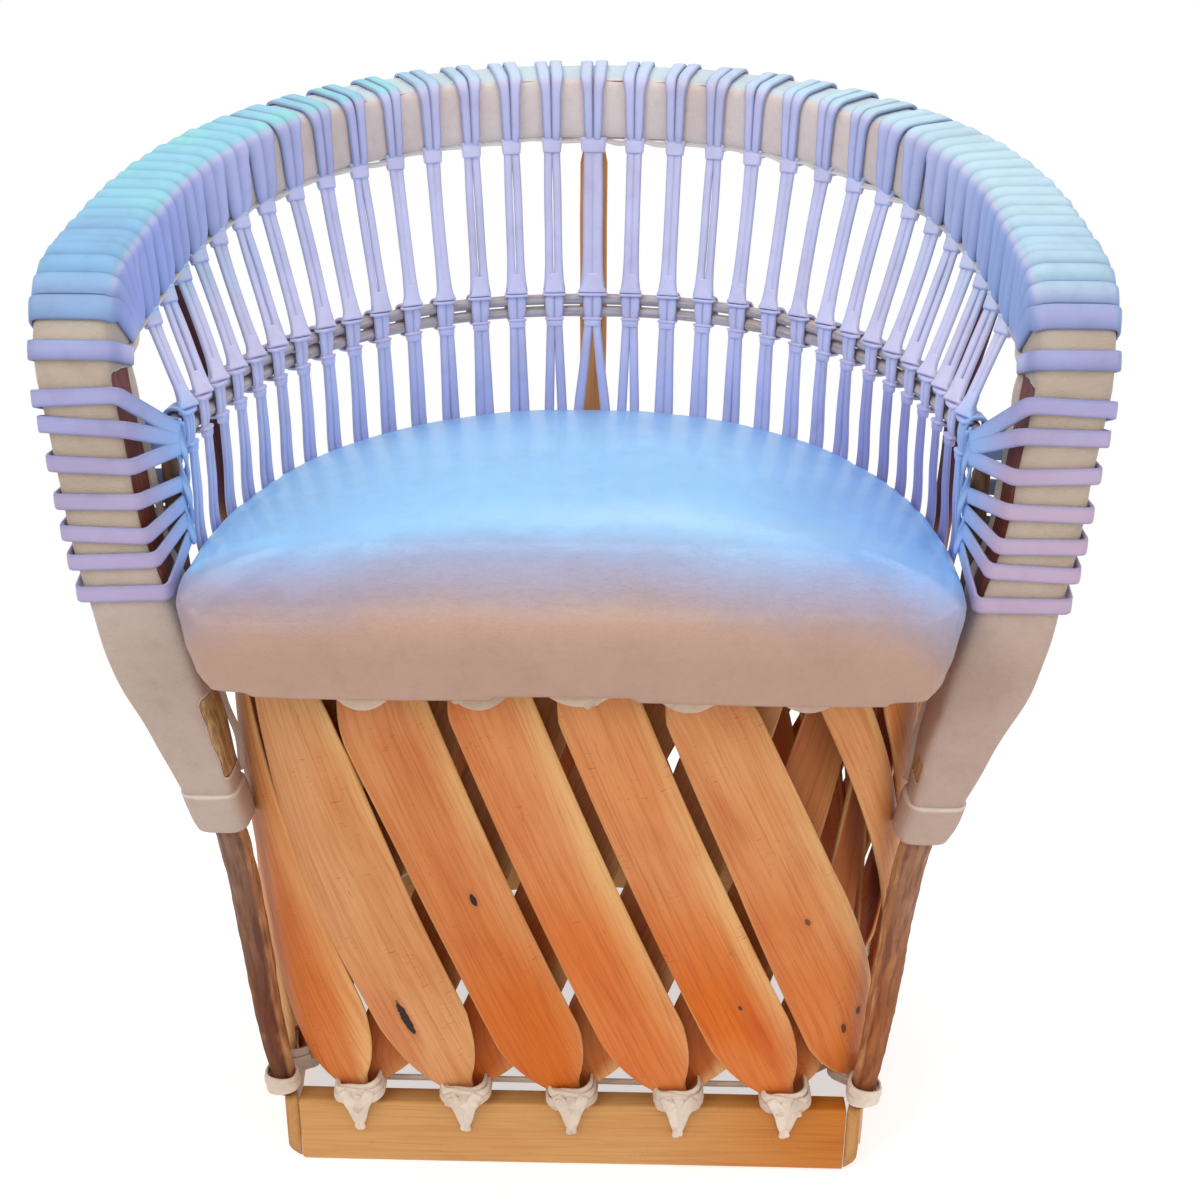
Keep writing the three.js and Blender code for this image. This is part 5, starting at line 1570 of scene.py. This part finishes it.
def make_sticks():
    """The three back posts that carry the rail, and the round sticks behind the arm posts."""
    centre = Pile()
    points = [(0, y, z) for y, z in CENTRE_STICK]
    centre.add(stick_grid(points, (1, 0, 0), (0, 1, 0), STICK_WIDTH, STICK_DEPTH, 81))
    centre.build("split_post_centre", split_wood, "split_wood", ["back_post_centre"],
                 edged_tint(SPLIT, SLAT_EDGE_AND_HIGHLIGHT))
    for side, name in SIDES:
        post = Pile()
        points = [(x * side, SIDE_POST_Y, z) for x, z in SIDE_POST_STICK]
        post.add(stick_grid(points, (0, 1, 0), (1, 0, 0), STICK_WIDTH, STICK_DEPTH, 83 + side))
        post.build(f"split_post_{name}", bark_wood, "bark_wood", [f"back_post_{name}"], side_post_tint)
        stick = Pile()
        points = [(x * side, SIDE_STICK_Y, z) for x, z in SIDE_STICK]
        wide = 2 * SIDE_STICK_RADIUS
        stick.add(stick_grid(points, (0, 1, 0), (1, 0, 0), wide, wide, 86 + side, 2.2))
        stick.build(f"round_stick_{name}", bark_wood, "bark_wood", [f"side_stick_{name}"],
                    plain_tint(BARK * 1.3))


# The lines in plan that the lacing's ends follow past the pad, one for each level of SEAT_RUN
seat_tracks = [
    horseshoe(SEAT_HALF + grow, SEAT_MIDDLE, SEAT_BACK + grow, SEAT_MIDDLE - 4) for _, grow in SEAT_RUN
]


def seat_place(level, number):
    """A place on the lacing's line past the pad at one level, and the way out there."""
    track = seat_tracks[level]
    place = track.length / 2 - np.asarray(number, float) / SPINDLES * reach_to_y(track, LAST_SEAT_Y)
    return raised(track.at(place), track.outward(place), np.full(place.shape, float(SEAT_RUN[level][0])))


def lace_tint(points, normals, tones, edges):
    """Lavender lacing under painted light and shade: painted shade in periwinkle low on the back and in dusk
    low on the right, painted light from mint to pale blue on top of the shoulders and painted blue shade down
    their sides, painted warm shade in rose and lilac on the fronts of the posts, painted sky-blue light
    behind them, and painted shade along the edges of the laces."""
    x, y, z = points.T
    far = np.abs(x)
    own = mix(LAVENDER * 0.95, LAVENDER * 1.03, tones)
    # Painted shade low on the back, and deeper on the right
    own = mix(own, PERIWINKLE_SHADE, 0.45 * smooth(z, 570, 480) * smooth(y, -160, -120))
    own = mix(own, DUSK_SHADE, 0.7 * smooth(x, 170, 240) * smooth(z, 556, 530) * smooth(y, -160, -140))
    # Painted blue shade on the faces of the shoulders that do not look up
    on_rail = smooth(z, 606, 630)
    shoulder = smooth(far, 120, 250) * on_rail
    inner = shoulder * smooth(normals[:, 2], 0.6, 0.1)
    inner = inner * (0.3 + 0.55 * smooth(y, 60, -110))
    own = mix(own, mix(INNER_BLUE_SHADE, SHOULDER_BLUE_LIT_AND_SHADE, 0.5 * smooth(x, 0, 200)), inner)
    # Painted light on the faces that look up over the rail, greener in places and bluer towards the front
    top = smooth(normals[:, 2], 0.3, 0.85) * on_rail
    crown = 0.35 + 0.65 * smooth(far, 90, 200)
    own = mix(own, mix(MINT_LIT, PALE_BLUE_LIT, 0.75 * smooth(x, 60, 220)), top * crown)
    greener = smooth(wander(points, 70.0, 41), 0.1, 0.7) * smooth(x, 60, -60)
    own = mix(own, MINT_GREEN_LIT, 0.5 * top * crown * greener)
    own = mix(own, SHOULDER_BLUE_LIT_AND_SHADE, top * smooth(y, -60, -150) * (0.9 - 0.65 * smooth(x, 0, 200)))
    # Painted warm shade on the fronts of the posts, with painted blue light high on them and painted sky-blue
    # light behind them
    front = smooth(y, -190, -210)
    lilac = np.clip(smooth(z, 520, 610) + 0.5 * smooth(x, 60, -60), 0, 1)
    own = mix(own, mix(ROSE_SHADE, LILAC_SHADE, lilac), 0.9 * front)
    own = mix(own, SHOULDER_BLUE_LIT_AND_SHADE, (0.75 - 0.6 * smooth(x, 0, 200)) * front * smooth(z, 612, 640))
    behind = smooth(y, -209, -200) * smooth(y, -128, -176) * smooth(z, 612, 560)
    own = mix(own, SKY_LIT, 0.85 * behind)
    # Painted blue shade on the outer faces of the shoulders, and painted shade along the edges of the laces
    outer = shoulder * smooth(normals[:, 0] * np.sign(x), 0.3, 0.8)
    own = mix(own, OUTER_BLUE_SHADE, 0.6 * outer)
    shade = mix(LACE_SHADE, TEAL_SHADE, np.clip(top + outer, 0, 1))
    return mix(own, shade, 0.75 * edges)


def rail_loop(pile, distance, offset, wide, narrow, lean, tone, dense, stand=1.5):
    """One turn of lace round the rail from its lower inner edge: the turn lies offset along the rail
    over the top, and closes in on the spindle's collar below."""
    angle = LOW_INNER - full_turn(64)
    t = np.linspace(0, 1, 64, endpoint=False)
    open_share = smooth(t, -0.03 * dense, 0.3 - 0.1 * dense) * (1 - smooth(t, 0.72, 1.0))
    way = -1 if distance < 0 else 1
    side = math.copysign(3.4, offset)
    shift = side + (offset - side) * open_share
    point, normal = rail.skin(distance + shift, angle, stand)
    width = narrow + (wide - narrow) * open_share
    # Painted shade along the edges of the turn, and towards the next turn where the turns close up
    edge = 0.6 * EDGE_SHADE_MARKS * (1 - dense) + 0.75 * FRONT_SHADE_MARKS[way] * dense
    crown = 0.5 - 0.3 * dense
    pile.lace(point, normal, width, closed=True, lean=lean, crown=crown, tone=tone, edge=edge)


def cane_loop(pile, centre, out, offset, tone):
    """One lace round both canes: a rounded box, in which the lace is widest a little above its
    middle and draws in towards its top and bottom."""
    a, b = (values[:, None] for values in ring(3.4, 40))
    bulge = 1 - 0.2 * np.abs(b - 0.25) ** 2
    wide, high = CANE_RADIUS + 1.9, CANE_RADIUS + CANE_SPREAD + 1.9
    path = centre + out * (wide * a) + UP * (high * b) + across_of(out) * (offset * bulge)
    pile.lace(path, out * a + UP * b, 8.6 * bulge[:, 0], 2.0, closed=True, crown=0.7, tone=tone,
              edge=SOFT_SHADE_MARKS)


def spindle(pile, number):
    """One spindle: two turns over the rail, a collar, two laces side by side down to a flared cuff,
    the turns round the canes, a lower collar and two laces that part on their way to the seat."""
    dice = np.random.default_rng(200 + number)
    dense = float(smooth(abs(number), *SHOULDER))
    bulk = 1.3 if number == 0 else 1.0
    spacing = rail.reach / SPINDLES
    distance = number * spacing
    tone = lambda: dice.uniform(0.2, 0.9)
    wide = dice.uniform(9.8, 10.8) * (1 - dense) + (spacing / 2 + 1.2) * dense
    offset = dice.uniform(5.4, 6.6) * (1 - dense) + spacing / 4 * dense
    lean = math.copysign(0.13 * dense, number)
    for way in (-1, 1):
        rail_loop(pile, distance, way * offset, wide, 6.6 + 1.6 * dense, -lean, tone(), dense,
                  1.5 + (0.4 if way > 0 else 0))
    corner = rail.skin(np.array([distance]), np.array([LOW_INNER]), 1.6)[0][0]
    (cane,), (out,) = cane_at(np.array([number / SPINDLES * cane_reach]))
    across = across_of(out)
    turn = math.copysign(LACE_TURN, number) * abs(out[0]) ** 3
    faced = out * math.cos(turn) + across * math.sin(turn)
    spread = across * math.cos(turn) - out * math.sin(turn)
    front = cane - out * (CANE_RADIUS + 2.4)
    head = front + UP * (CANE_SPREAD + CANE_RADIUS + 2)
    way = unit(corner - head)
    collar = corner - way * 3.0
    pad, pad_low, run = (seat_place(level, number)[0] for level in range(3))
    slack = dice.uniform(-1.2, 1.2)
    part = 12.5 if number == 0 else dice.choice([4.0, 4.3, 4.6, 6.0])
    foot_width = 9.2 if number == 0 else dice.uniform(8.6, 9.8)
    slit = dice.choice([2.5, 2.8, 3.0, 3.3, 4.0]) * bulk
    for hand in (-1, 1):
        shade = tone()
        side = spread * hand
        upper = curve([
            collar + side * 3.1 + way * 2,
            corner + (head - corner) * 0.3 + side * slit - out * slack,
            corner + (head - corner) * 0.65 + side * slit - out * slack,
            head + side * (slit + 0.4) + way * 2,
        ], 26)
        width = bulk * np.interp(
            np.linspace(0, 1, 26), [0, 0.08, 0.2, 0.8, 0.92, 1], [7.2, 7.4, 7.2, 7.4, 8.6, 11]
        )
        pile.lace(upper, -faced, width, 2.2, lean=hand * 0.1, crown=0.6, tone=shade, edge=SOFT_SHADE_MARKS)
        cane_loop(pile, cane, out, hand * 4.1, tone())
        start = front - UP * (CANE_SPREAD + CANE_RADIUS + 1)
        side = across * hand
        lower = curve([
            start + side * 3.2,
            start + (pad - start) * 0.4 + side * (3.2 + (part - 3.2) * 0.4),
            pad + side * part,
            pad_low + side * part,
            run + side * part,
        ], 34)
        width = np.interp(np.linspace(0, 1, 34), [0, 0.2, 0.65, 1], [7.4, 8.0, foot_width, foot_width])
        pile.lace(lower, -out, width, 2.2, lean=hand * 0.1, crown=0.6, tone=shade, edge=SOFT_SHADE_MARKS)
    down = unit(pad - start)
    for tone_here, *collar_here in (
        (0.75, collar - way * 1.5, way, spread, 16.0 * bulk, 7.0, 10.5, 1.12),
        (0.9, corner + way * 1.6, way, spread, 18.2 * bulk, 7.6, 3.0),
        (0.7, head + way * 8.5, -way, spread, 11.6 * bulk, 4.2, 17.0, 1.9),
        (0.6, head - UP * 1.5 + out * 1.0, UP, across, 21.5 * bulk, 9.6, 2.4),
        (0.75, start + down * 3.0, down, across, 15.0, 6.0, 5.6, 0.92),
        (0.6, start - down * 1.0, down, across, 17.0, 6.8, 2.2),
    ):
        pile.add(barrel(*collar_here), tone=tone_here)


def run_under(pile, first, last):
    """The lace that joins the feet of the spindles under the edge of the pad."""
    numbers = np.linspace(first, last, 10 * (last - first) + 1)
    pile.lace(*seat_place(2, numbers), RUN_HEIGHT, tone=0.4)


def post_outline(height):
    """The right post's outline at a height with room for a band: outer, inner, front, back."""
    marks = np.linspace(rail.reach + 60, rail.length, 200)
    centre, _, _, half = rail.at(marks)
    order = np.argsort(centre[:, 2])
    levels = [height - BAND_WIDTH / 2, height + BAND_WIDTH / 2]
    read = lambda values: np.interp(levels, centre[order, 2], values[order])
    stand = 1.2
    outer = read(centre[:, 0] + half[:, 0]).max() + stand
    inner = read(centre[:, 0] - half[:, 0]).min() - stand
    front = read(centre[:, 1] - half[:, 1]).min() - stand
    back = read(centre[:, 1] + half[:, 1]).max() + stand
    return outer, inner, front, back


def arm_band(heights, gather, dice):
    """A band round the front of the right post and back to where the bands are gathered."""
    front_height, back_height = heights
    middle = (front_height + back_height) / 2
    outer, inner, front, _ = post_outline(front_height)
    outer_behind, _, _, back = post_outline(middle)
    tilt = dice.uniform(-1.5, 1.5)
    points = [
        (outer, front, front_height + tilt),
        (inner, front, front_height - tilt),
        *[(x, y, back_height + dice.uniform(-1, 1)) for x, y in gather],
        (max(outer, outer_behind), back, middle),
    ]
    loop = rounded_loop(points, 5.0)
    centre = np.array([(outer + inner) / 2, (front + back) / 2 + 8, 0])
    step = np.roll(loop, -1, axis=0) - np.roll(loop, 1, axis=0)
    normal = unit(np.stack([step[:, 1], -step[:, 0], 0 * step[:, 0]], 1))
    normal = normal * np.sign(np.sum(normal * (loop - centre) * [1, 1, 0], axis=1, keepdims=True))
    return ribbon(loop, normal, BAND_WIDTH, LACE, closed=True, crown=0.3)


# Turns of lace over the crest beyond the last spindle, by distance from it
CREST_TURNS = [18.0, 28.0, 38.0, 48.0, 58.5, 76.0]

# Where the crest turns draw together at the lower inner edge, by distance from the last spindle
CREST_MEET = 40.0


def arm_laces(pile, side):
    """An arm's own laces: turns over the crest, bands of the post and what gathers them."""
    dice = np.random.default_rng(300 + side)

    def put(grid, closed, tone, edge=EDGE_SHADE_MARKS * 0.5):
        pile.add(grid * [side, 1, 1], closed, tone, edge)

    share = np.linspace(0, 1, 64, endpoint=False)
    angle = LOW_INNER - share * 2 * math.pi
    apart = 0.4 + 0.6 * smooth(share, -0.05, 0.25) * (1 - smooth(share, 0.74, 1.0))
    for turn in CREST_TURNS:
        alone = turn == CREST_TURNS[-1]
        place = turn + 0 * share if alone else CREST_MEET + (turn - CREST_MEET) * apart
        point, normal = rail.skin(rail.reach + place, angle, 1.5)
        wide, lean = (12.5, 0.0) if alone else (5 + 11 * apart, -0.12)
        grid = ribbon(point, normal, wide, lean=lean, closed=True, crown=0.25)
        put(grid, True, dice.uniform(0.3, 0.8), FRONT_SHADE_MARKS[1] * 0.65)
    for bands, gather in ((HIGH_BANDS, HIGH_GATHER), (LOW_BANDS, LOW_GATHER)):
        for heights in bands:
            put(arm_band(heights, gather, dice), True, dice.uniform(0.3, 0.8))
    low, high = np.array(GATHER_LACE, float)
    t = np.linspace(0, 1, 40)[:, None]
    for phase in (0.0, math.pi):
        turn = t[:, 0] * 9 + phase
        way = np.column_stack([np.cos(turn), np.sin(turn), 0 * turn])
        put(ribbon(low + (high - low) * t + 2.0 * way, way, 5.0, 2.2), False, 0.6)
    (cane,) = cane_at(np.array([cane_reach + 3.0]))[0]
    a, b = ring(2.6, 36)
    for shift in (-5.5, 0.5, 6.5):
        path = cane + np.array([0, shift, 0]) + np.column_stack([8.2 * a, 1.2 * b, 14.2 * b])
        normal = np.column_stack([a, 0 * a, b])
        put(ribbon(path, normal, 6.4, 2.2, closed=True), True, 0.5 + shift / 30)
    tie = curve([high, (high + cane) / 2 + UP, cane - [8, 0, 0]], 16)
    put(ribbon(tie, [-1.0, 0, 0], 7.0, 2.6), False, 0.7)


def make_lacing():
    """The back's spindles in a left and a right half, then each arm's spindles and its own laces."""
    left, right = Pile(), Pile()
    for number in range(-BACK_SPINDLES, BACK_SPINDLES + 1):
        spindle(left if number < 0 else right, number)
    run_under(left, -BACK_SPINDLES, -1)
    run_under(right, 0, BACK_SPINDLES)
    left.build("back_laces_left", lace_leather, "lace", ["back_straps_left"], lace_tint)
    right.build("back_laces_right", lace_leather, "lace", ["back_straps_right"], lace_tint)
    for side, name in SIDES:
        pile = Pile()
        for number in range(BACK_SPINDLES + 1, SPINDLES + 1):
            spindle(pile, number * side)
        run_under(pile, *sorted((side * (BACK_SPINDLES + 1), side * SPINDLES)))
        arm_laces(pile, side)
        pile.build(f"arm_laces_{name}", lace_leather, "lace", [f"arm_straps_{name}"], lace_tint)


def dress_frame():
    """Materials for the frame's pieces that show as they are."""
    for node, material, slot in (
        ("seat_ring", ring_wood, "split_wood"),
        ("rail_core", hidden_wood, "split_wood"),
        ("seat_panel", panel_wood, "panel_wood"),
    ):
        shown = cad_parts[node]
        for place in shown.material_slots:
            place.material = material


# Camera: the photograph's, by its place, turn, lift and roll
CAMERA_TARGET = np.array([14.0, -7.0, 375.0])
CAMERA_TURN = math.radians(1.44)
CAMERA_LIFT = math.radians(21.41)
CAMERA_ROLL = math.radians(0.28)
CAMERA_FAR = 1194.0
CAMERA_LENS = 45.03

# Lamps: name, place, aim, size and power
LAMPS = [
    ("key", (-1.6, -1.7, 2.3), (0.0, 0.0, 0.45), 1.8, 26),
    ("fill", (1.9, -1.3, 1.3), (0.0, 0.0, 0.4), 2.0, 11),
    ("top", (0.1, 0.3, 2.6), (0.0, 0.0, 0.4), 2.2, 18),
    ("low", (0.2, -2.2, 0.5), (0.0, 0.0, 0.3), 1.6, 3),
]
WORLD_LEVEL = 0.62

# The floor's own glow, and the distances from the chair between which it fades into the white
FLOOR_GLOW = 0.6
FLOOR_FADE = (0.45, 1.1)


def make_floor():
    """A pale floor that glows a little and fades into the white round it."""
    bpy.ops.mesh.primitive_plane_add(size=12, location=(0, 0, 0))
    floor = bpy.context.object
    floor.name = "floor"
    made = Shader("pale floor")
    place = made.places["Object"]
    dust = made.noise(place, 3.0, 3)
    shade = made.blend(made.ramp(dust, 0.3, 0.7), np.full(3, 0.56), np.full(3, 0.6))
    bumps = made.bump(dust, 0.0002, 0.1)
    pale = made.finish(shade, 0.8, bumps, emission_color=np.ones(3), emission_strength=FLOOR_GLOW)
    clear = made.put("BsdfTransparent")[0]
    share = made.ramp(made.far_from(place), *FLOOR_FADE)
    faded = made.put("MixShader", {0: share, 1: made.surface.outputs[0], 2: clear})[0]
    made.links.new(faded, made.nodes["Material Output"].inputs["Surface"])
    floor.data.materials.append(pale)


def make_world():
    """A world that looks white to the camera and to glossy rays, and lights with WORLD_LEVEL."""
    world = bpy.data.worlds.new("white surround")
    world.use_nodes = True
    bpy.context.scene.world = world
    nodes, links = world.node_tree.nodes, world.node_tree.links
    rays = nodes.new("ShaderNodeLightPath")
    seen = rays.outputs["Is Camera Ray"]
    for other in ("Is Glossy Ray", "Is Transmission Ray"):
        top = nodes.new("ShaderNodeMath")
        top.operation = "MAXIMUM"
        links.new(seen, top.inputs[0])
        links.new(rays.outputs[other], top.inputs[1])
        seen = top.outputs[0]
    level = nodes.new("ShaderNodeMapRange")
    links.new(seen, level.inputs["Value"])
    level.inputs["To Min"].default_value = WORLD_LEVEL
    level.inputs["To Max"].default_value = 1.0
    links.new(level.outputs[0], nodes["Background"].inputs["Strength"])
    nodes["Background"].inputs["Color"].default_value = (1, 1, 1, 1)


def make_lamps():
    """The lamps of LAMPS as round areas."""
    for name, place, aim, size, power in LAMPS:
        lamp = bpy.data.lights.new(name, "AREA")
        lamp.shape = "DISK"
        lamp.size = size
        lamp.energy = power
        stand = bpy.data.objects.new(name, lamp)
        bpy.context.scene.collection.objects.link(stand)
        look(stand, np.array(place), np.array(aim))


def make_camera():
    """The camera, back from its target along (sin turn cos lift, -cos turn cos lift, sin lift)."""
    scene = bpy.context.scene
    camera = bpy.data.cameras.new("camera")
    camera.lens = CAMERA_LENS
    camera.sensor_width = 36
    eye = bpy.data.objects.new("camera", camera)
    scene.collection.objects.link(eye)
    back = np.array([
        math.sin(CAMERA_TURN) * math.cos(CAMERA_LIFT),
        -math.cos(CAMERA_TURN) * math.cos(CAMERA_LIFT),
        math.sin(CAMERA_LIFT),
    ])
    place = (CAMERA_TARGET + SHIFT + back * CAMERA_FAR) / 1000
    look(eye, place, place - back, CAMERA_ROLL)
    scene.camera = eye
    scene.view_settings.view_transform = "Standard"


def look(thing, place, aim, roll=0.0):
    """Puts a lamp or camera at place, facing aim, rolled about its own line of sight."""
    back = unit(place - aim)
    right = unit(np.cross([0, 0, 1.0], back))
    up = np.cross(back, right)
    turned = right * math.cos(roll) + up * math.sin(roll)
    up = up * math.cos(roll) - right * math.sin(roll)
    rows = [[*row, at] for row, at in zip(np.stack([turned, up, back], 1).tolist(), place.tolist())]
    thing.matrix_world = Matrix([*rows, [0, 0, 0, 1]])


make_base()
make_slats()
make_foot_ties()
make_head_ties()
make_legs()
make_hide()
make_hide_wraps()
make_seat()
make_canes()
make_sticks()
make_lacing()
dress_frame()
make_floor()
make_world()
make_lamps()
make_camera()
